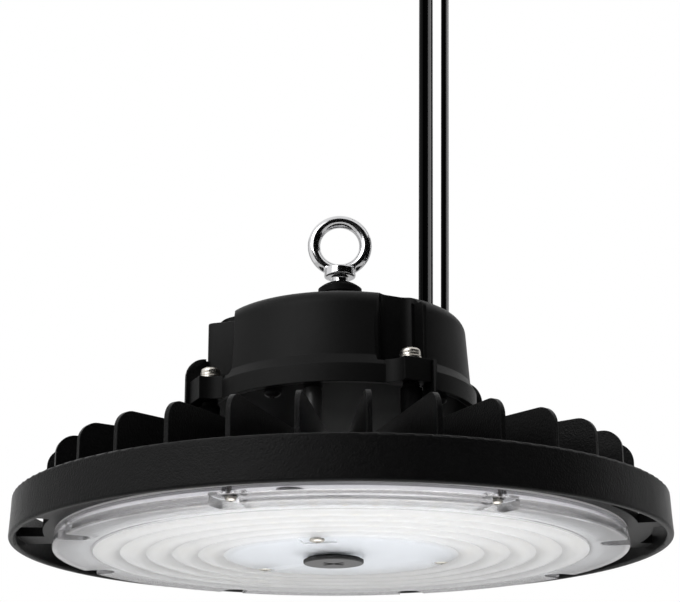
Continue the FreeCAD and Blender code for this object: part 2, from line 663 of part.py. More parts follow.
def driver_housing():
    """One casting: a deep cup with four lugs, the recesses over them and the eye bolt's boss."""
    made = body("driver_housing")
    shape = radial_sketch(made, "HousingProfile")
    flange_top = S.housing_base + S.flange_height
    outline(
        shape,
        (0, S.housing_base),
        (S.flange_radius, S.housing_base),
        (S.flange_radius, flange_top),
        (S.wall_radius, flange_top + S.shoulder_height),
        (S.wall_top_radius, HOUSING_TOP - S.top_round),
        (S.wall_top_radius - S.top_round, HOUSING_TOP, S.top_round),
        (S.boss_base_radius, HOUSING_TOP),
        (S.boss_top_radius, BOSS_TOP),
        (0, BOSS_TOP),
    )
    spin("Revolution", made, shape, "HousingCast")

    pad_sketch = flat_sketch(made, "SealPadSketch", SEAL_BASE, -S.casting_front)
    pad_body_depth = S.seal_pad_height + S.housing_wall
    oval(pad_sketch, SEAL_STRAIGHT, S.seal_half_width + S.seal_pad_margin, S.seal_x, S.seal_y)
    slab("Pad", made, pad_sketch, "SealPad", pad_body_depth, upward=False)

    cavity = radial_sketch(made, "CavityProfile")
    outline(
        cavity,
        (0, S.housing_base - 1),
        (SEAT_RADIUS, S.housing_base - 1),
        (SEAT_RADIUS, LEDGE),
        (CAVITY_RADIUS, LEDGE),
        (S.wall_top_radius - S.housing_wall, CEILING_INSIDE - S.top_round / 2),
        (S.wall_top_radius - S.housing_wall - S.top_round / 2, CEILING_INSIDE, S.top_round / 2),
        (0, CEILING_INSIDE),
    )
    spin("Groove", made, cavity, "Cavity")

    grown, cut, cheeks = [], [], []
    liner_outside = root(S.wall_top_radius * S.wall_top_radius
                         - (S.recess_half_width + S.housing_wall) * (S.recess_half_width + S.housing_wall))
    for label, angle, _, side in LUGS:
        liner = flat_sketch(made, label + "LinerSketch", LEDGE, angle)
        liner_half = S.recess_half_width + S.housing_wall
        outline(
            liner,
            (S.recess_back - S.housing_wall, -liner_half),
            (liner_outside - S.recess_lip, -liner_half),
            (liner_outside - S.recess_lip, liner_half),
            (S.recess_back - S.housing_wall, liner_half),
        )
        grown.append(slab("Pad", made, liner, label + "Liner", CEILING_INSIDE - LEDGE + 1))
        lug = flat_sketch(made, label + "LugSketch", S.lug_base, angle)
        lug_outline(lug, side)
        grown.append(slab("Pad", made, lug, label + "Lug", S.lug_height))
    for label, angle, screw_angle, side in LUGS:
        recess = flat_sketch(made, label + "RecessSketch", BOSS_TOP, angle)
        recess_outline(recess, side)
        cut.append(slab("Pocket", made, recess, label + "Recess", BOSS_TOP - LUG_TOP, upward=False))
        cut.append(holes(made, label + "LugHole", [(S.lug_screw_radius, 0)],
                         S.lug_screw_shank + S.screw_gap, LUG_TOP, S.lug_height, screw_angle,
                         upward=False))
        cheek = radial_sketch(made, label + "CheekSketch", angle,
                              (S.recess_half_width + S.cheek_thickness / 2) * side)
        outline(
            cheek,
            (S.cheek_foot, LUG_TOP - 1),
            (S.cheek_reach, LUG_TOP - 1),
            (S.cheek_reach, S.cheek_top - S.cheek_corner),
            (S.cheek_reach - S.cheek_corner, S.cheek_top, S.cheek_corner),
            (S.cheek_foot, S.cheek_top),
        )
        cheeks.append(slab("Pad", made, cheek, label + "Cheek", S.cheek_thickness, both_ways=True))
    mirrored(made, grown + cut + cheeks, "LugsAndRecesses")

    pillar_sketch = flat_sketch(made, "PillarSketch", LEDGE, S.pillar_angle)
    round_spot(pillar_sketch, S.pillar_circle, 0, S.pillar_radius)
    pillar = slab("Pad", made, pillar_sketch, "Pillar", CEILING_INSIDE - LEDGE)
    pillar_hole = holes(made, "PillarHole", [(S.pillar_circle, 0)],
                        S.closing_screw_radius + S.screw_gap, LEDGE,
                        S.closing_screw_length - S.closing_thickness - S.gasket_thickness + S.screw_gap,
                        S.pillar_angle)
    around(made, [pillar, pillar_hole], "Pillars", S.pillar_count)

    holes(made, "BoltBore", [(0, 0)], S.shank_radius + S.bore_clearance, BOSS_TOP,
          BOSS_TOP - CEILING_INSIDE, upward=False)
    opening = flat_sketch(made, "SealOpeningSketch", SEAL_BASE, -S.casting_front)
    oval(opening, SEAL_STRAIGHT, PLUG_HALF_WIDTH + S.seal_clearance, S.seal_x, S.seal_y)
    slab("Pocket", made, opening, "SealOpening", SEAL_BASE - CEILING_INSIDE, upward=False)
    place(made, turn=S.casting_front)
    return made


def disc_body(label, sketch_label, radius, base, thickness, turn=S.casting_front):
    made = body(label)
    sketch = flat_sketch(made, sketch_label, base)
    round_spot(sketch, 0, 0, radius)
    slab("Pad", made, sketch, label + "Disc", thickness)
    place(made, turn=turn)
    return made


def driver_base():
    """Plate that closes the housing from below, with the driver board's standoffs."""
    radius = SEAT_RADIUS - S.closing_clearance
    made = disc_body("driver_base", "ClosingPlateSketch", radius, S.housing_base, S.closing_thickness)
    standoffs = flat_sketch(made, "StandoffSketch", CLOSING_TOP)
    x, y = board_corner()
    for across, along in ((1, 1), (-1, 1), (-1, -1), (1, -1)):
        round_spot(standoffs, x * across, y * along, S.standoff_radius)
    slab("Pad", made, standoffs, "Standoffs", S.board_standoff)
    hole = holes(made, "ClosingScrewHole", [(S.pillar_circle, 0)],
                 S.closing_screw_radius + S.screw_gap, S.housing_base, S.closing_thickness,
                 S.pillar_angle)
    around(made, [hole], "ClosingScrewHoles", S.pillar_count)
    holes(made, "ClosingLeadHole", [(S.duct_circle, 0)], S.duct_bore, S.housing_base,
          S.closing_thickness, S.duct_angle)
    return made


def board_corner():
    """Middle of the standoff at one corner of the driver board."""
    return (S.board_length / 2 - S.standoff_radius * 1.5,
            S.board_width / 2 - S.standoff_radius * 1.5)


def base_gasket():
    made = body("base_gasket")
    sketch = flat_sketch(made, "BaseGasketSketch", CLOSING_TOP)
    round_spot(sketch, 0, 0, SEAT_RADIUS - S.closing_clearance)
    round_spot(sketch, 0, 0, CAVITY_RADIUS)
    slab("Pad", made, sketch, "BaseGasketRing", S.gasket_thickness)
    place(made, turn=S.casting_front)
    return made


def cylinder(label, radius, height, x=0, y=0, z=0):
    """A plain cylinder, placed from its owner's zero."""
    made = doc.addObject("Part::Cylinder", label)
    bind(made, "Radius", radius)
    bind(made, "Height", height)
    for axis, amount in (("x", x), ("y", y), ("z", z)):
        bind(made, "Placement.Base." + axis, amount)
    return made


def cone(label, foot_radius, top_radius, height, z=0):
    made = doc.addObject("Part::Cone", label)
    bind(made, "Radius1", foot_radius)
    bind(made, "Radius2", top_radius)
    bind(made, "Height", height)
    bind(made, "Placement.Base.z", z)
    return made


def block(label, length, width, height, x=0, y=0, z=0):
    """A box centred on x and y, standing on z."""
    made = doc.addObject("Part::Box", label)
    bind(made, "Length", length)
    bind(made, "Width", width)
    bind(made, "Height", height)
    bind(made, "Placement.Base.x", size(x) - size(length) / 2)
    bind(made, "Placement.Base.y", size(y) - size(width) / 2)
    bind(made, "Placement.Base.z", z)
    return made


def fused(label, *pieces):
    made = doc.addObject("Part::MultiFuse", label)
    made.Shapes = list(pieces)
    return made


def less(label, whole, tool):
    made = doc.addObject("Part::Cut", label)
    made.Base = whole
    made.Tool = tool
    return made


def copies(label, pattern, spots, turn=S.casting_front, z=0):
    """The pattern's solid at each spot, as separate solids of one node.
    A spot is a distance from the middle and an angle."""
    made = doc.addObject("Part::Feature", label)
    doc.recompute()
    solids = []
    for distance, angle in spots:
        solid = pattern.Shape.copy()
        solid.translate(Vector(distance.value, 0, 0))
        solid.rotate(Vector(), Z_AXIS, size(angle).value)
        solids.append(solid)
    made.Shape = Part.makeCompound(solids)
    place(made, turn=turn, z=z)
    return made


def evenly(distance, count, first=0):
    """Spots spread evenly on a circle."""
    return [(distance, size(first) + size(360.0 * step) / count) for step in range(int(count.value))]


def lug_spots():
    """The four lug screws, as distances and angles."""
    angles = [screw_angle for _, _, screw_angle, _ in LUGS]
    return [(S.lug_screw_radius, angle) for angle in angles + [-angle for angle in angles]]


def cover_angles():
    """The cover's screws stand in pairs on both sides of its front."""
    pairs = [S.boss_angle_front, S.boss_angle_side, S.boss_angle_back, S.boss_angle_rear]
    return pairs + [-angle for angle in pairs]


def cover_spots():
    return [(S.boss_circle * cosine(angle), S.boss_circle * sine(angle)) for angle in cover_angles()]


def pan_screw(label, shank, length, head, head_height):
    """Pan-head screw, head up, with its seat at zero and a cross recess in its head."""
    stem = cylinder(label + "Shank", shank, length, z=-size(length))
    cap = pan_head(label + "Head", head, head_height)
    cross_long = block(label + "CrossLong", head, head / 5, head_height / 2, z=head_height / 2)
    cross_wide = block(label + "CrossWide", head / 5, head, head_height / 2, z=head_height / 2)
    cross = fused(label + "Cross", cross_long, cross_wide)
    return less(label + "Screw", fused(label + "Blank", stem, cap), cross)


def pan_head(label, radius, height):
    """Low domed head: a cylinder with its upper edge rounded."""
    made = body(label)
    sketch = radial_sketch(made, label + "Profile")
    side = height * 0.45
    outline(
        sketch,
        (0, 0),
        (radius, 0),
        (radius, side),
        (radius * 0.45, height, radius * 0.85),
        (0, height),
    )
    spin("Revolution", made, sketch, label + "Turned")
    return made


def upside_down(label, screw):
    """The same screw with its head down."""
    made = doc.addObject("Part::Feature", label)
    doc.recompute()
    turned = screw.Shape.copy()
    turned.rotate(Vector(), Vector(1, 0, 0), 180)
    made.Shape = turned
    return made


def screws():
    """All screws, each set one node of separate solids."""
    head_seat = LUG_TOP + S.lug_washer_thickness
    lug = pan_screw("Lug", S.lug_screw_shank, head_seat - S.fin_top + S.lug_screw_bite,
                    S.lug_screw_head, S.lug_head_height)
    washer_hole = cylinder("WasherHole", S.lug_screw_shank + S.screw_gap, S.lug_washer_thickness)
    washer = less("Washer", cylinder("WasherDisc", S.lug_washer_radius, S.lug_washer_thickness), washer_hole)
    spacer_hole = cylinder("SpacerHole", S.lug_screw_shank + S.screw_gap, S.spacer_thickness)
    spacer = less("Spacer", cylinder("SpacerDisc", S.spacer_radius, S.spacer_thickness), spacer_hole)
    closing = pan_screw("Closing", S.closing_screw_radius, S.closing_screw_length,
                        S.closing_screw_radius * 1.9, S.closing_screw_radius * 1.1)
    cover = pan_screw("Cover", S.cover_screw_shank, S.plate_base + S.cover_screw_bite - COVER_SEAT,
                      S.cover_screw_head, S.cover_head_height)
    centre = pan_screw("Centre", S.centre_screw_shank,
                       S.plate_base + S.centre_screw_bite - S.centre_face - S.centre_boss_sink,
                       S.centre_screw_head, S.centre_head_height)
    return [
        copies("housing_screws", lug, lug_spots(), z=head_seat),
        copies("housing_washers", washer, lug_spots(), z=LUG_TOP),
        copies("housing_spacers", spacer, lug_spots(), z=POST_TOP),
        copies("base_screws", upside_down("ClosingTurned", closing),
               evenly(S.pillar_circle, S.pillar_count, S.pillar_angle), z=S.housing_base),
        copies("lens_screws", upside_down("CoverTurned", cover),
               [(S.boss_circle, angle) for angle in cover_angles()], turn=S.cover_front, z=COVER_SEAT),
        copies("centre_screws", upside_down("CentreTurned", centre),
               evenly(S.centre_screw_circle, S.centre_screw_count, S.centre_screw_angle),
               z=S.centre_face + S.centre_boss_sink),
    ]


def driver():
    """Driver board on its standoffs, with the transformer and a row of capacitors on it."""
    underside = CLOSING_TOP + S.board_standoff
    blank = block("DriverBoardBlank", S.board_length, S.board_width, S.board_thickness)
    terminals = block("DriverTerminals", 10, 6, 8, y=20, z=S.board_thickness)
    board = fused("driver_board", blank, terminals)
    place(board, turn=S.casting_front, z=underside)
    top = underside + S.board_thickness
    transformer = block("driver_transformer", S.transformer_size, S.transformer_size, S.transformer_height)
    turned = S.casting_front
    place(transformer, turn=turned, z=top)
    shift = S.transformer_size / 2
    bind(transformer, "Placement.Base.x", -(shift * cosine(turned)) + shift * sine(turned))
    bind(transformer, "Placement.Base.y", -(shift * sine(turned)) - shift * cosine(turned))
    capacitor = cylinder("Capacitor", S.capacitor_radius, S.capacitor_height)
    distance = S.board_length / 2 - S.capacitor_radius * 1.5
    spots = [(distance, angle) for angle in (-28, 28, 152)]
    return [board, transformer, copies("driver_capacitors", capacitor, spots, z=top)]


def lead_duct():
    """Tube that carries the LED lead from the driver down to the plate."""
    height = S.housing_base - PLATE_TOP
    wall = cylinder("DuctWall", S.duct_radius, height)
    made = less("lead_duct", wall, cylinder("DuctBore", S.duct_bore, height))
    direction = S.casting_front + S.duct_angle
    place(made, S.duct_circle * cosine(direction), S.duct_circle * sine(direction), PLATE_TOP)
    return made


def eye_bolt():
    """Forged eye, collar and shank, turned about the eye's centre."""
    section = (S.eye_outer_radius - S.eye_hole_radius) / 2
    ring = doc.addObject("Part::Torus", "EyeRing")
    bind(ring, "Radius1", S.eye_hole_radius + section)
    bind(ring, "Radius2", section)
    ring.Placement = FreeCAD.Placement(Vector(), FreeCAD.Rotation(Vector(1, 0, 0), 90))
    tail_end = CEILING_INSIDE - S.nut_height - S.shank_tail - S.eye_height
    collar_base = -(S.collar_drop + S.collar_height)
    collar = cylinder("EyeCollar", S.collar_radius, S.collar_height, z=collar_base)
    shank = cylinder("EyeShank", S.shank_radius, collar_base - tail_end, z=tail_end)
    blank = fused("EyeBlank", ring, collar, shank)
    land = cylinder("EyeLand", S.eye_hole_radius + S.eye_land, S.eye_outer_radius)
    land.Placement = FreeCAD.Placement(Vector(), FreeCAD.Rotation(Vector(1, 0, 0), 90))
    bind(land, "Placement.Base.y", S.eye_outer_radius / 2)
    made = less("eye_bolt", blank, land)
    place(made, z=S.eye_height)
    return made


def eye_nut():
    """Hexagon nut on the shank, under the housing's ceiling."""
    made = body("eye_nut")
    sketch = flat_sketch(made, "NutSketch")
    corner = S.nut_across_flats / 2 / cosine(30)
    outline(sketch, *[(corner * cosine(60 * k), corner * sine(60 * k)) for k in range(6)])
    slab("Pad", made, sketch, "NutBlank", S.nut_height)
    holes(made, "NutBore", [(0, 0)], S.shank_radius, 0, S.nut_height)
    place(made, z=CEILING_INSIDE - S.nut_height)
    return made


def boss_cap():
    """Domed rubber seal between the boss and the eye bolt's collar."""
    made = body("boss_cap")
    sketch = radial_sketch(made, "CapProfile")
    dome_radius = (S.cap_radius * S.cap_radius + S.cap_dome * S.cap_dome) / (S.cap_dome * 2)
    bore = S.shank_radius
    rise = root(dome_radius * dome_radius - bore * bore) - dome_radius + S.cap_dome
    outline(
        sketch,
        (bore, 0),
        (S.cap_radius, 0),
        (S.cap_radius, S.cap_skirt),
        (bore, S.cap_skirt + rise, dome_radius),
    )
    spin("Revolution", made, sketch, "CapMoulded")
    place(made, z=BOSS_TOP)
    return made


def sleeve(label, cord_radius, length, lean, spot):
    """Tapered sleeve around a cord, leaning with it from its foot in the seal's flange."""
    end_radius = cord_radius + S.sleeve_wall
    made = cone(label, end_radius + S.sleeve_flare, end_radius, length + S.seal_flange)
    made.Placement = FreeCAD.Placement(Vector(), FreeCAD.Rotation(Vector(0, 1, 0), 1))
    bind(made, "Placement.Rotation.Angle", lean)
    bind(made, "Placement.Base.x", spot)
    bind(made, "Placement.Base.y", 0)
    bind(made, "Placement.Base.z", 0)
    return made


def cord_seal():
    """One rubber moulding: a plug in the housing's oval opening, a flange and a sleeve per cord."""
    plug = body("SealPlug")
    plug_sketch = flat_sketch(plug, "SealPlugSketch")
    oval(plug_sketch, SEAL_STRAIGHT, PLUG_HALF_WIDTH)
    slab("Pad", plug, plug_sketch, "SealPlugPad", SEAL_BASE - CEILING_INSIDE, upward=False)
    flange = body("SealFlange")
    flange_sketch = flat_sketch(flange, "SealFlangeSketch")
    oval(flange_sketch, SEAL_STRAIGHT, S.seal_half_width)
    slab("Pad", flange, flange_sketch, "SealFlangePad", S.seal_flange)
    half = S.cord_spacing / 2
    mains = sleeve("MainsSleeve", S.mains_cord_radius, S.mains_sleeve_length, S.mains_lean, -half)
    dimming = sleeve("DimmingSleeve", S.dimming_cord_radius, S.dimming_sleeve_length, S.dimming_lean, half)
    made = fused("cord_seal", plug, flange, mains, dimming)
    place(made, S.seal_x, S.seal_y, SEAL_BASE)
    return made


def cord(label, cord_radius, sleeve_length, lean, side):
    """A taut cord from its sleeve up into the ceiling fitting."""
    start = sleeve_length + S.seal_flange
    foot_x = S.seal_x + S.cord_spacing / 2 * side + start * sine(lean)
    foot_z = SEAL_BASE + start * cosine(lean)
    length = (S.ceiling_height - foot_z) / cosine(lean) - cord_radius * sine(lean)
    made = cylinder(label, cord_radius, length)
    made.Placement = FreeCAD.Placement(Vector(), FreeCAD.Rotation(Vector(0, 1, 0), 1))
    bind(made, "Placement.Rotation.Angle", lean)
    bind(made, "Placement.Base.x", foot_x)
    bind(made, "Placement.Base.y", S.seal_y)
    bind(made, "Placement.Base.z", foot_z - S.eye_height)
    print(label, "length", round(length.value, 1))
    return made


def cords():
    mains = cord("mains_cord", S.mains_cord_radius, S.mains_sleeve_length, S.mains_lean, -1)
    dimming = cord("dimming_cord", S.dimming_cord_radius, S.dimming_sleeve_length, S.dimming_lean, 1)
    return [mains, dimming]


def ceiling_fitting():
    """Small round outlet cover on the ceiling that both cords go into."""
    made = body("ceiling_fitting")
    sketch = radial_sketch(made, "FittingProfile")
    r = S.fitting_round
    outline(
        sketch,
        (0, 0),
        (S.fitting_radius - r, 0),
        (S.fitting_radius, r, r),
        (S.fitting_radius, S.fitting_height),
        (0, S.fitting_height),
    )
    spin("Revolution", made, sketch, "FittingMoulded")
    drop = (S.ceiling_height - SEAL_BASE) * (sine(S.mains_lean) + sine(S.dimming_lean)) / 2
    place(made, S.seal_x + drop, S.seal_y, S.ceiling_height)
    return made


def led_disc(label, radius, base, thickness):
    """Round sheet under the plate, open where screws and the lead pass through."""
    made = disc_body(label, label + "Sketch", radius, base, thickness)
    hole = holes(made, label + "ScrewHole", [(S.centre_screw_circle, 0)],
                 S.centre_screw_shank + S.screw_gap, base, thickness, S.centre_screw_angle)
    around(made, [hole], label + "ScrewHoles", S.centre_screw_count)
    holes(made, label + "LeadHole", [(S.duct_circle, 0)], S.duct_bore, base, thickness, S.duct_angle)
    return made


def led_board():
    """White circuit board that fills the cover, open around the cover's bosses and the breather."""
    made = led_disc("led_board", S.led_board_radius, BOARD_FACE, S.board_thickness)
    holes(made, "BoardBossHoles", cover_spots(), S.boss_radius + S.board_hole_gap, BOARD_FACE,
          S.board_thickness, COVER_TURN)
    holes(made, "BoardBreatherHole", [(S.breather_circle, 0)], S.breather_radius + S.board_hole_gap,
          BOARD_FACE, S.board_thickness, S.breather_angle)
    return made


def led_chips():
    """LEDs in one ring under the middle of each ring prism."""
    chip = block("Chip", S.chip_size, S.chip_size, S.chip_height)
    spots = []
    for ring in range(int(S.ridge_count.value)):
        distance = S.ridge_start + S.ridge_pitch * (ring + 0.5)
        count = S.chips_inner_ring + S.chips_ring_step * ring
        spots += evenly(distance, count)
    return copies("led_chips", chip, spots, z=BOARD_FACE - S.chip_height)


def lens_cover():
    """One clear moulding: side, flat border, ring prisms, smooth centre and screw bosses."""
    made = body("lens_cover")
    profile = radial_sketch(made, "CoverProfile")
    half_pitch = S.ridge_pitch / 2
    ridge_radius = (half_pitch * half_pitch + S.ridge_rise * S.ridge_rise) / (S.ridge_rise * 2)
    ridges = [(S.ridge_start + S.ridge_pitch * (k + 1), S.ridge_valley, ridge_radius)
              for k in range(int(S.ridge_count.value))]
    border_inside = S.cover_face + S.cover_skin
    prism_inside = S.ridge_valley + S.prism_skin
    side_inside = S.cover_radius - S.cover_wall
    outline(
        profile,
        (0, S.centre_face),
        (S.centre_radius, S.centre_face),
        (S.ridge_start, S.ridge_valley),
        *ridges,
        (RIDGE_END + 1, S.cover_face),
        (S.cover_radius - S.cover_edge, S.cover_face),
        (S.cover_radius, S.cover_face + S.cover_edge, S.cover_edge),
        (COVER_TOP_RADIUS, COVER_TOP),
        (COVER_TOP_RADIUS - S.cover_wall, COVER_TOP),
        (side_inside, border_inside),
        (RIDGE_END + 1, border_inside),
        (RIDGE_END, prism_inside),
        (S.ridge_start, prism_inside),
        (S.centre_radius, S.centre_face + S.cover_skin),
        (0, S.centre_face + S.cover_skin),
    )
    spin("Revolution", made, profile, "CoverMoulded")

    block_foot = S.cover_face + S.cover_skin / 2
    block_top = COVER_SEAT + S.pocket_wall
    for number, angle in enumerate(cover_angles()):
        block_sketch = flat_sketch(made, f"PocketBlockSketch{number}", block_foot, angle)
        pocket_outline(block_sketch, S.pocket_wall, side_inside + S.cover_wall / 2)
        slab("Pad", made, block_sketch, f"PocketBlock{number}", block_top - block_foot)
    boss_sketch = flat_sketch(made, "CoverBossSketch", COVER_SEAT)
    for x, y in cover_spots():
        round_spot(boss_sketch, x, y, S.boss_radius)
    slab("Pad", made, boss_sketch, "CoverBosses", S.plate_base - COVER_SEAT)
    for number, angle in enumerate(cover_angles()):
        pocket_sketch = flat_sketch(made, f"PocketSketch{number}", S.cover_face, angle)
        pocket_outline(pocket_sketch, size(0), S.cover_radius + 1)
        slab("Pocket", made, pocket_sketch, f"Pocket{number}", S.cover_head_sink)
    holes(made, "CoverBossHoles", cover_spots(), S.cover_screw_shank + S.screw_gap,
          S.cover_face, S.plate_base - S.cover_face)

    square_foot = S.centre_face + S.cover_skin / 2
    centre_turn = S.centre_screw_angle - COVER_TURN
    square_sketch = flat_sketch(made, "CentreBossSketch", square_foot, centre_turn)
    square(square_sketch, S.centre_screw_circle, S.centre_boss / 2)
    square_boss = slab("Pad", made, square_sketch, "CentreBoss", BOARD_FACE - square_foot)
    recess_sketch = flat_sketch(made, "CentreRecessSketch", S.centre_face, centre_turn)
    square(recess_sketch, S.centre_screw_circle, S.centre_boss)
    recess = slab("Pocket", made, recess_sketch, "CentreRecess", S.centre_boss_sink)
    centre_hole = holes(made, "CentreHole", [(S.centre_screw_circle, 0)],
                        S.centre_screw_shank + S.screw_gap, S.centre_face,
                        BOARD_FACE - S.centre_face, centre_turn)
    around(made, [square_boss, recess, centre_hole], "CentreBosses", S.centre_screw_count)
    holes(made, "PortHole", [(S.plug_x, 0)], S.plug_neck + S.plug_clearance, S.centre_face,
          S.cover_skin, -S.cover_front)
    place(made, turn=S.cover_front)
    return made


def pocket_outline(sketch, margin, outer):
    """Pocket around a screw in the cover's border, wider towards the cover's side."""
    inner_half = S.pocket_inner_half + margin
    outer_half = S.pocket_outer_half + margin
    outline(
        sketch,
        (S.pocket_inner - margin, -inner_half),
        (outer, -outer_half),
        (outer, outer_half),
        (S.pocket_inner - margin, inner_half),
    )


def square(sketch, x, half):
    outline(sketch, (x - half, -half), (x + half, -half), (x + half, half), (x - half, half))


def lens_gasket():
    made = body("lens_gasket")
    sketch = flat_sketch(made, "LensGasketSketch", COVER_TOP)
    round_spot(sketch, 0, 0, COVER_TOP_RADIUS - S.gasket_margin)
    round_spot(sketch, 0, 0, COVER_TOP_RADIUS - S.cover_wall + S.gasket_margin)
    slab("Pad", made, sketch, "LensGasketRing", S.gasket_thickness)
    place(made, turn=S.casting_front)
    return made


def breather():
    """Round breather plug pressed into the plate inside the cover."""
    head = cone("BreatherHead", S.breather_radius * 0.9, S.breather_radius, S.breather_height,
                z=-S.breather_height)
    stem = cylinder("BreatherStem", S.breather_stem, S.breather_stem_length)
    made = fused("breather", head, stem)
    direction = S.casting_front + S.breather_angle
    place(made, S.breather_circle * cosine(direction), S.breather_circle * sine(direction), S.plate_base)
    return made


def port_plug():
    """Screw plug of the sensor port in the cover's centre, with crossed slots for a coin."""
    blank = body("PlugBlank")
    sketch = radial_sketch(blank, "PlugProfile")
    bottom = -(S.plug_seal_thickness + S.plug_height)
    outline(
        sketch,
        (0, bottom),
        (S.plug_radius - S.plug_round, bottom),
        (S.plug_radius, bottom + S.plug_round),
        (S.plug_radius, -S.plug_seal_thickness),
        (S.plug_neck, -S.plug_seal_thickness),
        (S.plug_neck, S.plug_neck_length - S.plug_seal_thickness),
        (0, S.plug_neck_length - S.plug_seal_thickness),
    )
    spin("Revolution", blank, sketch, "PlugTurned")
    slots = []
    for label, turn in (("PlugSlotA", 35), ("PlugSlotB", -35)):
        slot = block(label, S.plug_slot_length, S.plug_slot_width, S.plug_slot_depth)
        slot.Placement = FreeCAD.Placement(Vector(), FreeCAD.Rotation(Z_AXIS, turn))
        half_length, half_width = S.plug_slot_length / 2, S.plug_slot_width / 2
        bind(slot, "Placement.Base.x", -(half_length * cosine(turn)) + half_width * sine(turn))
        bind(slot, "Placement.Base.y", -(half_length * sine(turn)) - half_width * cosine(turn))
        bind(slot, "Placement.Base.z", bottom)
        slots.append(slot)
    made = less("port_plug", blank, fused("PlugSlots", *slots))
    place(made, S.plug_x, 0, S.centre_face)
    return made


def plug_seal():
    made = body("plug_seal")
    sketch = flat_sketch(made, "PlugSealSketch", -S.plug_seal_thickness)
    round_spot(sketch, 0, 0, S.plug_seal_radius)
    round_spot(sketch, 0, 0, S.plug_neck)
    slab("Pad", made, sketch, "PlugSealRing", S.plug_seal_thickness)
    place(made, S.plug_x, 0, S.centre_face)
    return made


def build():
    nodes = [heat_sink(), housing_stands(), driver_housing(), driver_base(), base_gasket(), lead_duct()]
    nodes += screws()
    nodes += driver()
    nodes += [eye_bolt(), eye_nut(), boss_cap(), cord_seal(), ceiling_fitting()]
    nodes += cords()
    nodes += [led_disc("thermal_pad", S.thermal_pad_radius, BOARD_TOP, S.pad_thickness)]
    nodes += [led_board(), led_chips()]
    nodes += [lens_cover(), lens_gasket(), breather(), port_plug(), plug_seal()]
    return nodes


def check(nodes):
    doc.recompute()
    failed = [thing.Label for thing in doc.Objects if {"Invalid", "Error"} & set(thing.State)]
    if failed:
        raise RuntimeError(f"did not recompute: {failed}")
    for node in nodes:
        if node.Shape.isNull() or not node.Shape.isValid() or not node.Shape.Solids:
            raise RuntimeError(f"{node.Label} has no valid solid")


def export(nodes):
    os.makedirs("parts", exist_ok=True)
    for node in nodes:
        node.Shape.exportStep(f"parts/{node.Label}.step")
        box = node.Shape.BoundBox
        print(f"{node.Label:20s} {len(node.Shape.Solids):3d} solids {node.Shape.Volume / 1000:9.2f} cm3"
              f"  z {box.ZMin:8.2f} {box.ZMax:8.2f}")


parts = build()
check(parts)
export(parts)
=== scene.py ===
import math

import bpy
from mathutils import Matrix, Vector


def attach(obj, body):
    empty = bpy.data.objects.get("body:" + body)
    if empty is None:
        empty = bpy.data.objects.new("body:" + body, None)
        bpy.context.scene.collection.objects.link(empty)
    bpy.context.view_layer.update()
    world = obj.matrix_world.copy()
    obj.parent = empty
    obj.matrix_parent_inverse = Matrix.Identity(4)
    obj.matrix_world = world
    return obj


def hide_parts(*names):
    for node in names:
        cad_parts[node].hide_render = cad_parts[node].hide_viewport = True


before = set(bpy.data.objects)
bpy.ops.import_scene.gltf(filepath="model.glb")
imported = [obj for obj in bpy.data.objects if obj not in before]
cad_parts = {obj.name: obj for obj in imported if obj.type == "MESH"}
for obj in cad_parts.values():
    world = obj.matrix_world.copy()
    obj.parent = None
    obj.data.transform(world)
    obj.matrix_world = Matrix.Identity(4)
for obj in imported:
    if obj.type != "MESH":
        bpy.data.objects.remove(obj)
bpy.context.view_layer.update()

# Looks of the high bay light, made round its CAD nodes. Lengths are in millimetres unless said otherwise.
MM = 0.001

# Heights in the part's frame, whose zero is the eye's centre.
RIM_BASE = -156.2
PLATE_UNDERSIDE = RIM_BASE + 5.0
LUG_TOP = RIM_BASE + 77.2
COVER_TOP = RIM_BASE + 4.0
SCREW_SEAT = RIM_BASE + 0.9
BORDER_TOP = RIM_BASE + 0.7
COVER_FACE = RIM_BASE - 3.6
PRISM_VALLEY = RIM_BASE - 4.0
CENTRE_FACE = RIM_BASE - 5.2
PLUG_FACE = RIM_BASE - 7.8

# Directions about the upright axis, in degrees.
CASTING_FRONT = -109.2
COVER_FRONT = -85.2
FRONT_LUG, REAR_LUG = 47.8, 137.2
FRONT_LEFT, FRONT_RIGHT = CASTING_FRONT - FRONT_LUG, CASTING_FRONT + FRONT_LUG
BREATHER_TURN = CASTING_FRONT + 9.7
COVER_SCREW_TURNS = (25.3, 71.6, 116.2, 158.6)
CENTRE_SCREW_TURN = -102.2

# Distances from the upright axis.
LUG_CIRCLE = 68.8
SCREW_CIRCLE = 132.0
CENTRE_SCREW_CIRCLE = 52.0
BREATHER_CIRCLE = 128.4
PRISM_START, PRISM_PITCH, PRISMS, PRISM_RISE = 57.0, 12.5, 5, 1.3
PRISM_END = PRISM_START + PRISM_PITCH * PRISMS
PLUG_OPENING = 9.95


# ---------------------------------------------------------------- helpers for materials


def new_material(name):
    material = bpy.data.materials.new(name)
    material.use_nodes = True
    return material


def shader_of(material):
    return material.node_tree.nodes["Principled BSDF"]


def set_sockets(node, **values):
    """Constants for a node's inputs; an underscore stands for a space."""
    for name, value in values.items():
        node.inputs[name.replace("_", " ")].default_value = value


def wire(tree, source, output, target, socket):
    tree.links.new(source.outputs[output], target.inputs[socket])


def group_tree(name, inputs, outputs):
    """An empty shader node group with named sockets: (name, socket type, value)."""
    tree = bpy.data.node_groups.new(name, "ShaderNodeTree")
    for label, kind, value in inputs:
        socket = tree.interface.new_socket(label, in_out="INPUT", socket_type=kind)
        if value is not None:
            socket.default_value = value
    for label, kind in outputs:
        tree.interface.new_socket(label, in_out="OUTPUT", socket_type=kind)
    return tree, tree.nodes.new("NodeGroupInput"), tree.nodes.new("NodeGroupOutput")


def place_group(material, tree, **values):
    node = material.node_tree.nodes.new("ShaderNodeGroup")
    node.node_tree = tree
    set_sockets(node, **values)
    return node


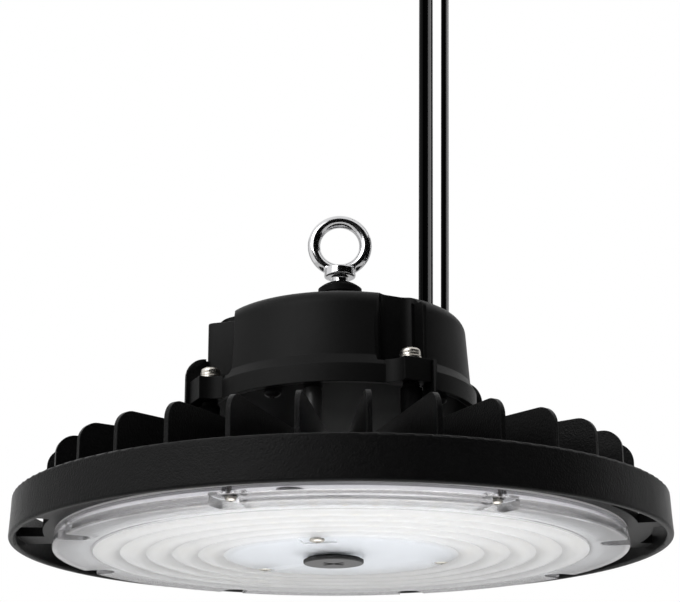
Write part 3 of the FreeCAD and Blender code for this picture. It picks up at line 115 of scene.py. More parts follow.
def object_point(material):
    return material.node_tree.nodes.new("ShaderNodeTexCoord").outputs["Object"]


def math_node(tree, operation, first, second=None):
    node = tree.nodes.new("ShaderNodeMath")
    node.operation = operation
    for index, value in enumerate((first, second)):
        if value is None:
            continue
        if isinstance(value, (int, float)):
            node.inputs[index].default_value = value
        else:
            tree.links.new(value, node.inputs[index])
    return node.outputs[0]


def colour_mix(tree, factor, first, second):
    """Blend of two colours, each a constant or another node's output."""
    mix = tree.nodes.new("ShaderNodeMix")
    mix.data_type = "RGBA"
    tree.links.new(factor, mix.inputs["Factor"])
    colour_sockets = mix.inputs[6], mix.inputs[7]
    colour_result = mix.outputs[2]
    for socket, colour in zip(colour_sockets, (first, second)):
        if isinstance(colour, tuple):
            socket.default_value = (*colour, 1)
        else:
            tree.links.new(colour, socket)
    return colour_result


def range_node(tree, value, low, high):
    """Spreads a value that runs from low to high."""
    node = tree.nodes.new("ShaderNodeMapRange")
    set_sockets(node, From_Min=low, From_Max=high)
    tree.links.new(value, node.inputs["Value"])
    return node


def bump_into(material, height, depth):
    tree = material.node_tree
    bump = tree.nodes.new("ShaderNodeBump")
    set_sockets(bump, Strength=1.0, Distance=depth * MM)
    tree.links.new(height, bump.inputs["Height"])
    wire(tree, bump, "Normal", shader_of(material), "Normal")
    return bump


def soften_edges(material, bump, radius):
    """Edges catch the light as if they were rounded by this radius."""
    tree = material.node_tree
    bevel = tree.nodes.new("ShaderNodeBevel")
    bevel.samples = 6
    set_sockets(bevel, Radius=radius * MM)
    wire(tree, bevel, "Normal", bump, "Normal")


def distance_and_height(material, point):
    """Distance of a point from the light's upright axis, and its height, in metres."""
    tree = material.node_tree
    apart = tree.nodes.new("ShaderNodeSeparateXYZ")
    tree.links.new(point, apart.inputs[0])
    squares = [math_node(tree, "MULTIPLY", apart.outputs[axis], apart.outputs[axis]) for axis in (0, 1)]
    return math_node(tree, "SQRT", math_node(tree, "ADD", *squares)), apart.outputs[2]


def steps_ramp(material, value, low, high, stops):
    """Colours along a value: each stop is a place between low and high, and a grey or a colour."""
    tree = material.node_tree
    ramp = tree.nodes.new("ShaderNodeValToRGB")
    elements = ramp.color_ramp.elements
    while len(elements) < len(stops):
        elements.new(0.5)
    for element, (place, colour) in zip(elements, stops):
        element.position = (place - low) / (high - low)
        element.color = (*colour, 1) if isinstance(colour, tuple) else (colour, colour, colour, 1)
    wire(tree, range_node(tree, value, low, high), "Result", ramp, "Fac")
    return ramp.outputs["Color"]


# ---------------------------------------------------------------- effects used by several materials


def coat_grain():
    """Powder coat: fine pebbles with a slow unevenness under them."""
    tree, given, made = group_tree(
        "powder coat grain",
        [("Point", "NodeSocketVector", None), ("Pebbles", "NodeSocketFloat", 900.0),
         ("Dark", "NodeSocketColor", (0.02, 0.02, 0.02, 1)),
         ("Light", "NodeSocketColor", (0.03, 0.03, 0.03, 1)),
         ("Dull", "NodeSocketFloat", 0.6), ("Bright", "NodeSocketFloat", 0.45)],
        [("Colour", "NodeSocketColor"), ("Roughness", "NodeSocketFloat"), ("Height", "NodeSocketFloat")],
    )
    pebbles = tree.nodes.new("ShaderNodeTexNoise")
    set_sockets(pebbles, Detail=3.0, Roughness=0.62)
    wire(tree, given, "Point", pebbles, "Vector")
    wire(tree, given, "Pebbles", pebbles, "Scale")
    wire(tree, pebbles, "Fac", made, "Height")

    slow = tree.nodes.new("ShaderNodeTexNoise")
    set_sockets(slow, Scale=22.0, Detail=2.0)
    wire(tree, given, "Point", slow, "Vector")

    pebble_share = math_node(tree, "MULTIPLY", pebbles.outputs["Fac"], 0.6)
    slow_share = math_node(tree, "MULTIPLY", slow.outputs["Fac"], 0.4)
    blend = math_node(tree, "ADD", pebble_share, slow_share)
    steep = range_node(tree, blend, 0.38, 0.62).outputs["Result"]
    colour = colour_mix(tree, steep, given.outputs["Dark"], given.outputs["Light"])
    tree.links.new(colour, made.inputs["Colour"])

    dulling = range_node(tree, slow.outputs["Fac"], 0.0, 1.0)
    wire(tree, given, "Dull", dulling, "To Min")
    wire(tree, given, "Bright", dulling, "To Max")
    wire(tree, dulling, "Result", made, "Roughness")
    return tree


def fine_noise():
    """Small unevenness of moulded plastic, rubber and plated metal."""
    tree, given, made = group_tree(
        "fine unevenness",
        [("Point", "NodeSocketVector", None), ("Size", "NodeSocketFloat", 400.0),
         ("Smooth", "NodeSocketFloat", 0.3), ("Rough", "NodeSocketFloat", 0.4)],
        [("Roughness", "NodeSocketFloat"), ("Height", "NodeSocketFloat")],
    )
    noise = tree.nodes.new("ShaderNodeTexNoise")
    set_sockets(noise, Detail=4.0)
    wire(tree, given, "Point", noise, "Vector")
    wire(tree, given, "Size", noise, "Scale")
    wire(tree, noise, "Fac", made, "Height")

    dulling = range_node(tree, noise.outputs["Fac"], 0.3, 0.7)
    wire(tree, given, "Smooth", dulling, "To Min")
    wire(tree, given, "Rough", dulling, "To Max")
    wire(tree, dulling, "Result", made, "Roughness")
    return tree


COAT_GRAIN = coat_grain()
FINE_NOISE = fine_noise()


# ---------------------------------------------------------------- materials


def powder_coat(name, dark, light, pebbles, depth, dull, bright):
    """Powder-coated casting."""
    material = new_material(name)
    tree, shader = material.node_tree, shader_of(material)
    grain = place_group(material, COAT_GRAIN, Pebbles=pebbles, Dull=dull, Bright=bright,
                        Dark=(*dark, 1), Light=(*light, 1))
    tree.links.new(object_point(material), grain.inputs["Point"])
    wire(tree, grain, "Colour", shader, "Base Color")
    wire(tree, grain, "Roughness", shader, "Roughness")
    set_sockets(shader, Specular_IOR_Level=0.1)
    bump = bump_into(material, grain.outputs["Height"], depth)
    soften_edges(material, bump, 0.7)
    return material


def plain_finish(name, colour, smooth, rough, size, depth, metallic=0.0, gloss=0.5):
    """Plastic, rubber or metal with a fine unevenness; smooth and rough are the ends of its roughness."""
    material = new_material(name)
    tree, shader = material.node_tree, shader_of(material)
    noise = place_group(material, FINE_NOISE, Size=size, Smooth=smooth, Rough=rough)
    tree.links.new(object_point(material), noise.inputs["Point"])
    darker = tuple(channel * 0.86 for channel in colour)
    lighter = tuple(min(1.0, channel * 1.12) for channel in colour)
    tint = colour_mix(tree, noise.outputs["Height"], darker, lighter)
    tree.links.new(tint, shader.inputs["Base Color"])
    wire(tree, noise, "Roughness", shader, "Roughness")
    set_sockets(shader, Metallic=metallic, Specular_IOR_Level=gloss)
    bump_into(material, noise.outputs["Height"], depth)
    return material


# Roughness and tint of the clear cover by distance from the axis, in metres. The greys of the border and of
# the outer face are painted shade.
COVER_INNER, COVER_OUTER = 0.04, 0.142
COVER_FROST = (
    (0.05, 0.55),  # smooth centre
    (0.056, 0.36),  # prisms
    (0.119, 0.36),
    (0.1205, 0.22),  # border and wall
    (0.1385, 0.22),
    (0.139, 0.2),  # outer face
)
COVER_TINT_AND_PAINTED_SHADE = (
    (0.054, (0.88, 0.9, 0.93)),  # smooth centre
    (0.057, (0.985, 0.985, 0.99)),  # prisms
    (0.119, (0.985, 0.985, 0.99)),
    # painted shade: from here outwards the border and the outer face are greyed, greyest on the outer face
    (0.1205, (0.74, 0.74, 0.76)),  # border up to the screws
    (0.126, (0.72, 0.72, 0.74)),
    (0.1275, (0.56, 0.56, 0.575)),  # border at the screws
    (0.137, (0.56, 0.555, 0.575)),
    (0.1375, (0.97, 0.95, 0.97)),  # thin upper wall
    (0.1388, (0.97, 0.95, 0.97)),
    (0.139, (0.26, 0.255, 0.265)),  # outer face
)


def clear_cover_material():
    """Clear polycarbonate: frosted centre and prisms, and a clearer border, greyed with painted shade, most
    at the screws, as is the outer face.
    """
    material = new_material("clear cover")
    tree, shader = material.node_tree, shader_of(material)
    point = object_point(material)
    distance, _ = distance_and_height(material, point)
    for stops, socket in ((COVER_FROST, "Roughness"), (COVER_TINT_AND_PAINTED_SHADE, "Base Color")):
        finish = steps_ramp(material, distance, COVER_INNER, COVER_OUTER, stops)
        tree.links.new(finish, shader.inputs[socket])
    noise = place_group(material, FINE_NOISE, Size=260.0)
    tree.links.new(point, noise.inputs["Point"])
    bump_into(material, noise.outputs["Height"], 0.01)
    path = tree.nodes.new("ShaderNodeLightPath")
    tree.links.new(math_node(tree, "SUBTRACT", 1.0, path.outputs["Is Shadow Ray"]), shader.inputs["Alpha"])
    set_sockets(shader, Transmission_Weight=1.0, IOR=1.49)
    return material


def plug_material():
    """Port plug: dark grey flat face, with its side and slots painted near black as shade."""
    material = plain_finish("port plug plastic", (0.07, 0.07, 0.072), 0.5, 0.62, 1800, 0.06)
    tree, shader = material.node_tree, shader_of(material)
    _, height = distance_and_height(material, object_point(material))
    # painted shade: all above the flat face, the side and the slots, is painted near black
    face = range_node(tree, height, (PLUG_FACE + 0.01) * MM, (PLUG_FACE + 0.05) * MM)
    set_sockets(face, To_Min=1.0, To_Max=0.06)
    grey = shader.inputs["Base Color"].links[0].from_socket
    colour = colour_mix(tree, face.outputs["Result"], (0.004, 0.004, 0.004), grey)
    tree.links.new(colour, shader.inputs["Base Color"])
    return material


MATERIALS = {
    "sink": powder_coat("heat sink coat", (0.0012, 0.0012, 0.0013), (0.0032, 0.0032, 0.0033),
                        pebbles=1150, depth=0.36, dull=0.36, bright=0.28),
    "housing": powder_coat("housing coat", (0.002, 0.002, 0.002), (0.0038, 0.0038, 0.0038),
                           pebbles=2600, depth=0.1, dull=0.5, bright=0.4),
    "closing": powder_coat("closing plate coat", (0.004, 0.004, 0.004), (0.006, 0.006, 0.006),
                           pebbles=2600, depth=0.08, dull=0.6, bright=0.5),
    "chrome": plain_finish("polished plating", (0.66, 0.66, 0.67), 0.1, 0.17, 90, 0.01, metallic=1.0),
    "screw": plain_finish("zinc plating", (0.62, 0.59, 0.54), 0.22, 0.38, 700, 0.02, metallic=1.0),
    "silicone": plain_finish("white silicone", (0.8, 0.79, 0.8), 0.4, 0.55, 900, 0.02),
    "rubber": plain_finish("black rubber", (0.003, 0.003, 0.003), 0.45, 0.6, 900, 0.03, gloss=0.05),
    "cord": plain_finish("cord sheath", (0.0004, 0.0004, 0.0004), 0.1, 0.13, 60, 0.001, gloss=0.06),
    "ceiling": plain_finish("white ceiling plastic", (0.78, 0.78, 0.76), 0.4, 0.5, 900, 0.02),
    "black_plastic": plain_finish("black plastic", (0.012, 0.012, 0.012), 0.35, 0.45, 900, 0.03),
    "plug": plug_material(),
    "cover": clear_cover_material(),
    "board": plain_finish("white solder resist", (0.86, 0.87, 0.88), 0.35, 0.45, 60, 0.02),
    "phosphor": plain_finish("phosphor", (0.92, 0.74, 0.36), 0.4, 0.5, 1500, 0.02),
    "pad": plain_finish("thermal pad", (0.4, 0.41, 0.42), 0.7, 0.8, 600, 0.03),
    "green": plain_finish("green solder resist", (0.03, 0.2, 0.09), 0.3, 0.4, 300, 0.02),
    "tape": plain_finish("yellow tape", (0.7, 0.52, 0.1), 0.3, 0.45, 300, 0.02),
    "can": plain_finish("capacitor sleeve", (0.5, 0.51, 0.53), 0.3, 0.4, 300, 0.02, metallic=1.0),
}

NODE_FINISH = {
    "heat_sink": "sink", "housing_stands": "sink", "driver_housing": "housing", "driver_base": "closing",
    "base_gasket": "rubber", "base_screws": "black_plastic", "driver_board": "green",
    "driver_transformer": "tape", "driver_capacitors": "can", "housing_screws": "screw",
    "housing_washers": "screw", "housing_spacers": "rubber", "lead_duct": "black_plastic",
    "eye_bolt": "chrome", "boss_cap": "rubber", "eye_nut": "screw", "cord_seal": "rubber",
    "mains_cord": "cord", "dimming_cord": "cord", "ceiling_fitting": "ceiling", "led_board": "board",
    "led_chips": "phosphor", "thermal_pad": "pad", "lens_cover": "cover", "lens_gasket": "silicone",
    "lens_screws": "screw", "centre_screws": "screw", "breather": "black_plastic", "port_plug": "plug",
    "plug_seal": "rubber",
}


def finish_cad_nodes():
    for node, finish in NODE_FINISH.items():
        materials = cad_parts[node].data.materials
        materials.clear()
        materials.append(MATERIALS[finish])


# ---------------------------------------------------------------- modelling helpers


def only(piece):
    """Select one piece and make it active."""
    bpy.ops.object.select_all(action="DESELECT")
    piece.select_set(True)
    bpy.context.view_layer.objects.active = piece


def settle(piece):
    """Put a piece's place, turn and size into its mesh."""
    only(piece)
    bpy.ops.object.transform_apply(location=True, rotation=True, scale=True)


def named(piece, name):
    piece.name = name
    piece.data.name = name
    return piece


def turned(name, rings, steps=64, x=0.0, y=0.0, solid=True):
    """A turned piece: a circle drawn out through rings (radius, height).
    A solid has a face at both ends; otherwise the last ring meets the first."""
    bpy.ops.object.select_all(action="DESELECT")
    radius, height = rings[0]
    bpy.ops.mesh.primitive_circle_add(vertices=steps, radius=radius * MM,
                                      location=(x * MM, y * MM, height * MM),
                                      fill_type="NGON" if solid else "NOTHING")
    piece = named(bpy.context.object, name)
    bpy.ops.object.mode_set(mode="EDIT")
    bpy.ops.mesh.select_mode(type="EDGE")
    bpy.ops.mesh.select_all(action="SELECT")
    for (radius, height), (wider, higher) in zip(rings, rings[1:]):
        bpy.ops.mesh.extrude_edges_move(TRANSFORM_OT_translate={"value": (0, 0, (higher - height) * MM)})
        ratio = wider / radius
        bpy.ops.transform.resize(value=(ratio, ratio, 1), center_override=(x * MM, y * MM, higher * MM))
    if solid:
        bpy.ops.mesh.edge_face_add()
    bpy.ops.mesh.select_all(action="SELECT")
    bpy.ops.mesh.remove_doubles(threshold=1e-6)
    bpy.ops.mesh.normals_make_consistent(inside=False)
    bpy.ops.object.mode_set(mode="OBJECT")
    settle(piece)
    return piece


def block(name, length, width, low, high, x=0.0, y=0.0):
    """A block between two heights, centred on x and y."""
    bpy.ops.object.select_all(action="DESELECT")
    bpy.ops.mesh.primitive_cube_add(size=1, location=(x * MM, y * MM, (low + high) / 2 * MM))
    piece = named(bpy.context.object, name)
    piece.scale = (length * MM, width * MM, (high - low) * MM)
    settle(piece)
    return piece


def upright(name, outline, low, high):
    """A straight-sided piece: an outline of (x, y) corners raised from one height to another."""
    bpy.ops.object.select_all(action="DESELECT")
    bpy.ops.mesh.primitive_circle_add(vertices=len(outline), radius=MM, fill_type="NGON")
    piece = named(bpy.context.object, name)
    for corner, (x, y) in zip(piece.data.vertices, outline):
        corner.co = (x * MM, y * MM, low * MM)
    bpy.ops.object.mode_set(mode="EDIT")
    bpy.ops.mesh.select_all(action="SELECT")
    bpy.ops.mesh.extrude_region_move(TRANSFORM_OT_translate={"value": (0, 0, (high - low) * MM)})
    bpy.ops.mesh.select_all(action="SELECT")
    bpy.ops.mesh.normals_make_consistent(inside=False)
    bpy.ops.object.mode_set(mode="OBJECT")
    return piece


def bevelled(piece, width, segments, angle):
    """Round a piece's edges that turn by more than an angle."""
    only(piece)
    edge = piece.modifiers.new("Edge", "BEVEL")
    edge.width = width * MM
    edge.segments = segments
    edge.angle_limit = math.radians(angle)
    bpy.ops.object.modifier_apply(modifier=edge.name)
    return piece


def smooth(piece, degrees=32):
    only(piece)
    bpy.ops.object.shade_smooth_by_angle(angle=math.radians(degrees))


def copy_of(piece, name, turn, shift=(0, 0, 0)):
    """A copy with its own mesh, moved and then turned about the upright axis."""
    only(piece)
    bpy.ops.object.duplicate(linked=False)
    made = named(bpy.context.object, name)
    made.location = Matrix.Rotation(math.radians(turn), 3, "Z") @ Vector(shift) * MM
    made.rotation_euler = (0, 0, math.radians(turn))
    settle(made)
    return made


def joined(name, pieces):
    bpy.ops.object.select_all(action="DESELECT")
    for piece in pieces:
        piece.select_set(True)
    bpy.context.view_layer.objects.active = pieces[0]
    bpy.ops.object.join()
    return named(bpy.context.object, name)


def around(name, piece, spots):
    """Copies of a piece at spots (distance, angle), joined; the first piece goes."""
    made = [copy_of(piece, name, angle, (distance, 0, 0)) for distance, angle in spots]
    bpy.data.objects.remove(piece)
    return joined(name, made)


def combine(piece, tool, operation):
    """Join a tool to a piece or cut it away, and drop the tool."""
    only(piece)
    change = piece.modifiers.new(operation.title(), "BOOLEAN")
    change.operation = operation
    change.solver = "EXACT"
    change.object = tool
    bpy.ops.object.modifier_apply(modifier=change.name)
    bpy.data.objects.remove(tool)


def dress(piece, finish, slot, *nodes):
    """Give a finished piece its material, its body and the CAD nodes that it stands for."""
    piece.data.materials.clear()
    piece.data.materials.append(MATERIALS[finish])
    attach(piece, "root")
    if nodes:
        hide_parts(*nodes)


# ---------------------------------------------------------------- clear cover


def cover_spots(shift=0.0):
    """Places (distance, angle) of the border's eight screws, moved outwards by a shift."""
    turns = [side * angle for angle in COVER_SCREW_TURNS for side in (1, -1)]
    return [(SCREW_CIRCLE + shift, COVER_FRONT + turn) for turn in turns]


def centre_spots():
    """Places (distance, angle) of the three screws in the smooth centre."""
    return [(CENTRE_SCREW_CIRCLE, CENTRE_SCREW_TURN + 120.0 * step) for step in range(3)]


def prism_rings(steps=8):
    """Bottom line of the ring prisms: shallow arcs side by side, from the middle outwards."""
    half = PRISM_PITCH / 2
    radius = (half * half + PRISM_RISE * PRISM_RISE) / (2 * PRISM_RISE)
    rings = []
    for prism in range(PRISMS):
        middle = PRISM_START + PRISM_PITCH * (prism + 0.5)
        for step in range(steps):
            across = -half + PRISM_PITCH * step / steps
            sag = math.sqrt(radius * radius - across * across) - (radius - PRISM_RISE)
            rings.append((middle + across, PRISM_VALLEY - sag))
    return rings + [(PRISM_END, PRISM_VALLEY)]


def pocket_outline(radius, reach, half_width):
    """Half a circle on the inner side of the screw, then flaring outwards to the wall."""
    arc = [math.radians(90 + 15 * step) for step in range(13)]
    round_end = [(radius * math.cos(turn), radius * math.sin(turn)) for turn in arc]
    return round_end + [(reach, -half_width), (reach, half_width)]


def add_cover():
    """One clear moulding: wall, thick border with screw pockets, ring prisms, smooth centre."""
    skin, centre_skin = 2.0, 2.2
    rings = [(PLUG_OPENING, CENTRE_FACE), (53.4, CENTRE_FACE), (54.6, CENTRE_FACE + 0.25)]
    rings += prism_rings()
    rings += [
        (PRISM_END + 1.0, COVER_FACE), (138.4, COVER_FACE), (139.05, COVER_FACE + 0.25),
        (139.4, COVER_FACE + 1.0), (139.1, BORDER_TOP - 0.4), (138.7, BORDER_TOP),
        (138.5, COVER_TOP), (135.5, COVER_TOP), (135.8, BORDER_TOP + 0.6), (135.2, BORDER_TOP),
        (PRISM_END + 2.2, BORDER_TOP), (PRISM_END + 1.0, BORDER_TOP - 0.5),
        (PRISM_END + 0.3, PRISM_VALLEY + skin + 0.2), (PRISM_END - 0.5, PRISM_VALLEY + skin),
        (PRISM_START, PRISM_VALLEY + skin), (54.0, CENTRE_FACE + centre_skin),
        (PLUG_OPENING, CENTRE_FACE + centre_skin), (PLUG_OPENING, CENTRE_FACE),
    ]
    cover = turned("clear_cover", rings, steps=160, solid=False)

    roof = upright("pocket_roof", pocket_outline(8.0, 7.2, 8.8), BORDER_TOP - 0.3, SCREW_SEAT + 1.4)
    boss = turned("screw_boss", [(3.8, SCREW_SEAT + 0.6), (3.6, SCREW_SEAT + 2.2), (3.5, PLATE_UNDERSIDE)],
                  steps=24)
    pocket = upright("screw_pocket", pocket_outline(6.4, 12.0, 7.4), COVER_FACE - 2.0, SCREW_SEAT)
    bore = turned("screw_bore", [(1.45, COVER_FACE - 1.0), (1.45, PLATE_UNDERSIDE + 1.0)], steps=16)
    post = block("centre_post", 8.0, 8.0, CENTRE_FACE + 1.1, RIM_BASE + 3.0)
    recess = block("centre_recess", 16.0, 16.0, CENTRE_FACE - 1.0, CENTRE_FACE + 0.9)
    deep_recess = turned("deep_recess", [(4.8, CENTRE_FACE - 1.0), (4.8, CENTRE_FACE + 1.5)], steps=32)
    hole = turned("centre_bore", [(2.05, CENTRE_FACE - 1.0), (2.05, RIM_BASE + 4.0)], steps=16)
    changes = (
        ("UNION", "pocket_roofs", roof, cover_spots(-1.2)),
        ("UNION", "screw_bosses", boss, cover_spots()),
        ("DIFFERENCE", "screw_pockets", pocket, cover_spots()),
        ("DIFFERENCE", "screw_bores", bore, cover_spots()),
        ("UNION", "centre_posts", post, centre_spots()),
        ("DIFFERENCE", "centre_recesses", recess, centre_spots()[:1]),
        ("DIFFERENCE", "deep_recesses", deep_recess, centre_spots()[1:]),
        ("DIFFERENCE", "centre_bores", hole, centre_spots()),
    )
    for operation, name, tool, spots in changes:
        combine(cover, around(name, tool, spots), operation)
    smooth(cover, 24)
    dress(cover, "cover", "clear_cover", "lens_cover")


# ---------------------------------------------------------------- housing, stands and eye bolt


def add_eye_bolt():
    """Forged eye that runs into its collar, and its plain shank."""
    bpy.ops.object.select_all(action="DESELECT")
    bpy.ops.mesh.primitive_torus_add(major_radius=13.28 * MM, minor_radius=3.28 * MM, major_segments=128,
                                     minor_segments=40, rotation=(math.pi / 2, 0, 0))
    ring = bpy.context.object
    settle(ring)
    neck = turned("eye_neck", [(7.3, -14.2), (6.2, -12.9), (4.4, -11.6), (3.6, -10.9)], steps=64)
    collar = turned("eye_collar", [(7.5, -17.2), (8.05, -16.9), (8.15, -16.4), (8.15, -13.0), (7.9, -12.5),
                                   (7.4, -12.3)], steps=96)
    shank = turned("eye_shank", [(4.0, -54.2), (4.0, -17.6), (4.5, -17.2), (4.5, -16.8)], steps=48)
    eye = joined("forged_eye", [ring, neck, collar, shank])
    fuse = eye.modifiers.new("Fuse", "REMESH")
    fuse.mode = "VOXEL"
    fuse.voxel_size = 0.32 * MM
    even = eye.modifiers.new("Even", "SMOOTH")
    even.factor = 0.5
    even.iterations = 7
    only(eye)
    for modifier in ("Fuse", "Even"):
        bpy.ops.object.modifier_apply(modifier=modifier)
    bpy.ops.object.shade_smooth()
    dress(eye, "chrome", "polished_steel", "eye_bolt")


def add_housing_blends():
    """Filled side of the front left recess, and the rib that closes the gap behind its lug.
    Both are drawn with x outwards through the lug's screw and y across it, and then turned there."""
    outline = [(55.0, -9.5), (66.4, -9.6), (67.2, -9.1), (67.4, -8.3), (67.1, -7.5), (66.0, -6.2),
               (57.2, 1.4), (56.4, 1.9), (55.0, 2.0)]
    fill = bevelled(upright("recess_fill", outline, LUG_TOP - 1.0, RIM_BASE + 109.2), 1.6, 5, 60)
    rib = block("rib", 6.4, 1.8, LUG_TOP - 2.0, RIM_BASE + 89.6, x=69.0, y=-9.4)
    blends = joined("recess_blend", [copy_of(piece, piece.name, FRONT_LEFT) for piece in (fill, rib)])
    for piece in (fill, rib):
        bpy.data.objects.remove(piece)
    smooth(blends, 40)
    dress(blends, "housing", "housing_paint")


def add_stands():
    """The stands of the heat sink; the tab beside the front right lug ends level with the lug."""
    tab_inside, tab_aside, tab_half = 60.0 * MM, 8.4 * MM, 2.5 * MM
    level = (LUG_TOP - 0.4) * MM
    only(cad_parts["housing_stands"])
    bpy.ops.object.duplicate(linked=False)
    stands = named(bpy.context.object, "stands")
    stands.parent = None
    settle(stands)
    to_lug = Matrix.Rotation(math.radians(-FRONT_RIGHT), 3, "Z")
    for corner in stands.data.vertices:
        place = to_lug @ corner.co
        on_tab = place.x > tab_inside and abs(place.y - tab_aside) < tab_half
        if on_tab and place.z > level:
            corner.co.z = level
    bpy.ops.object.mode_set(mode="EDIT")
    bpy.ops.mesh.select_all(action="SELECT")
    bpy.ops.mesh.remove_doubles(threshold=2e-6)
    bpy.ops.mesh.dissolve_degenerate()
    bpy.ops.object.mode_set(mode="OBJECT")
    smooth(stands, 30)
    dress(stands, "sink", "sink_paint", "housing_stands")


# ---------------------------------------------------------------- screws and washers


def pan_head(name, radius, height, shank, length, seat, up=True, steps=40):
    """Pan-head screw with a cross recess; its head points up or down from its seat."""
    way = 1 if up else -1
    top = seat + way * height
    rings = [(shank, seat - way * length), (shank, seat), (radius * 0.96, seat),
             (radius, seat + way * height * 0.12)]
    dome_steps = 8
    for step in range(1, dome_steps):
        turn = math.pi / 2 * step / dome_steps
        rings.append((radius * math.cos(turn) ** 0.8, seat + way * height * (0.3 + 0.7 * math.sin(turn))))
    rings.append((radius * 0.08, top))
    screw = turned(name, rings, steps=steps)
    recess_floor = top - way * height * 0.5
    for turn in (20.0, 110.0):
        slot = block("slot", radius * 1.05, radius * 0.22,
                     min(top, recess_floor), max(top + way, recess_floor))
        slot.rotation_euler = (0, 0, math.radians(turn))
        settle(slot)
        combine(screw, slot, "DIFFERENCE")
    return screw


def washer(name, bore, radius, low, high, bevel, step):
    """Flat ring with its outer edges bevelled by a width and a height."""
    return turned(name, [(bore, low), (radius - bevel, low), (radius, low + step), (radius, high - step),
                         (radius - bevel, high), (bore, high), (bore, low)], solid=False)


def add_lug_screws():
    """Screw, split spring washer and flat washer on each lug."""
    bore = 2.7
    flat_top = LUG_TOP + 2.3
    low, high = LUG_TOP + 2.35, LUG_TOP + 3.6
    flat = washer("flat_washer", bore, 5.25, LUG_TOP, flat_top, 0.25, 0.3)
    spring = washer("spring_washer", bore, 4.9, low, high, 0.2, 0.2)
    split = block("split", 4.0, 0.5, low - 1, high + 1, x=4.0)
    split.rotation_euler = (0.5, 0, math.radians(-60))
    settle(split)
    combine(spring, split, "DIFFERENCE")
    screw = pan_head("lug_screw", 4.9, 3.2, 2.5, 46.6, high)
    spots = [(LUG_CIRCLE, CASTING_FRONT + side * turn) for turn in (FRONT_LUG, REAR_LUG) for side in (1, -1)]
    sets = (
        ("lug_flat_washers", flat, ["housing_washers"]),
        ("lug_spring_washers", spring, []),
        ("lug_screws", screw, ["housing_screws"]),
    )
    for name, piece, nodes in sets:
        pieces = around(name, piece, spots)
        smooth(pieces)
        dress(pieces, "screw", "screw_steel", *nodes)


def add_cover_screws():
    """Eight screws in the border's pockets, and one shallow and two deep ones in the centre."""
    screw = pan_head("cover_screw", 2.6, 2.2, 1.3, 8.0, SCREW_SEAT, up=False, steps=32)
    screws = around("cover_screws", screw, cover_spots())
    smooth(screws)
    dress(screws, "screw", "screw_steel", "lens_screws")

    centre_screws = []
    shank_end = RIM_BASE + 9.5
    for seat, spots in ((CENTRE_FACE + 0.9, centre_spots()[:1]), (CENTRE_FACE + 1.5, centre_spots()[1:])):
        screw = pan_head("centre_screw", 3.6, 1.9, 1.9, shank_end - seat, seat, up=False, steps=32)
        centre_screws.append(around("centre_screw", screw, spots))
    screws = joined("centre_screws_turned", centre_screws)
    smooth(screws)
    dress(screws, "screw", "screw_steel", "centre_screws")


# ---------------------------------------------------------------- light engine


def add_led_packages():
    """White LED packages with a round window of phosphor, on one ring behind each prism."""
    face = RIM_BASE + 3.0
    body = bevelled(block("led_body", 3.4, 3.4, face - 0.65, face), 0.15, 1, 30)
    window = turned("led_window", [(1.6, face - 0.6), (1.6, face - 0.68), (1.25, face - 0.7)], steps=12)
    spots = []
    for ring in range(PRISMS):
        count = 30 + 6 * ring
        distance = PRISM_START + PRISM_PITCH * (ring + 0.5)
        spots += [(distance, CASTING_FRONT + 360.0 * step / count) for step in range(count)]
    bodies = around("led_bodies", body, spots)
    windows = around("led_windows", window, spots)
    dress(bodies, "board", "led_board_white", "led_chips")
    dress(windows, "phosphor", "led_phosphor")


def add_breather():
    """Breather membrane's cap, level with the plate in the board's round opening."""
    angle = math.radians(BREATHER_TURN)
    low, plate = RIM_BASE + 4.5, PLATE_UNDERSIDE
    rings = [(2.9, plate + 3.6), (2.9, plate), (5.8, plate), (5.8, low + 0.15), (5.65, low), (3.4, low),
             (3.1, low + 0.3), (1.0, low + 0.35)]
    cap = turned("breather_cap", rings, steps=48,
                 x=BREATHER_CIRCLE * math.cos(angle), y=BREATHER_CIRCLE * math.sin(angle))
    smooth(cap)
    dress(cap, "black_plastic", "black_plastic", "breather")


# ---------------------------------------------------------------- cords

SEAL_X, SEAL_Y = 48.8, 8.0
SEAL_TOP, FITTING_MOUTH = 114.5, 322.0  # above the rim's lower edge
CORD_STOPS = (0.0, 0.1, 0.35, 0.65, 0.9, 1.0)  # shares of a cord's length


def straight_cord(name, start, end, radius):
    """A taut cord as a smooth spline between its sleeve and the ceiling fitting, in metres."""
    bpy.ops.curve.primitive_nurbs_path_add(location=(0, 0, 0))
    cord = bpy.context.object
    cord.name = name
    curve = cord.data
    curve.splines.clear()
    spline = curve.splines.new("NURBS")
    spline.points.add(len(CORD_STOPS) - 1)
    for point, share in zip(spline.points, CORD_STOPS):
        point.co = (*start.lerp(end, share), 1)
    spline.order_u = 3
    spline.use_endpoint_u = True
    curve.bevel_depth = radius
    curve.bevel_resolution = 8
    curve.use_fill_caps = True
    curve.materials.append(MATERIALS["cord"])
    return cord


def add_cords():
    """Both cords run straight up from the seal on the housing to the ceiling fitting."""
    cords = (
        # piece, CAD node, radius, lean in degrees, aside of the seal's middle, length of its sleeve
        ("mains_lead", "mains_cord", 3.75, 1.15, -4.9, 6.5),
        ("dimming_lead", "dimming_cord", 2.1, 1.31, 4.9, 4.5),
    )
    out_of_sleeve = 1.6
    for name, node, radius, lean, aside, sleeve in cords:
        tilt = math.radians(lean)
        foot = SEAL_TOP + (sleeve + out_of_sleeve) * math.cos(tilt)
        x = SEAL_X + aside + (sleeve + out_of_sleeve) * math.sin(tilt)
        length = (FITTING_MOUTH - foot) / math.cos(tilt) - radius * math.sin(tilt)
        start = Vector((x, SEAL_Y, foot + RIM_BASE)) * MM
        end = start + Vector((math.sin(tilt), 0, math.cos(tilt))) * length * MM
        lead = straight_cord(name, start, end, radius * MM)
        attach(lead, "root")
        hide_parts(node)


# ---------------------------------------------------------------- stage, light and camera, in metres


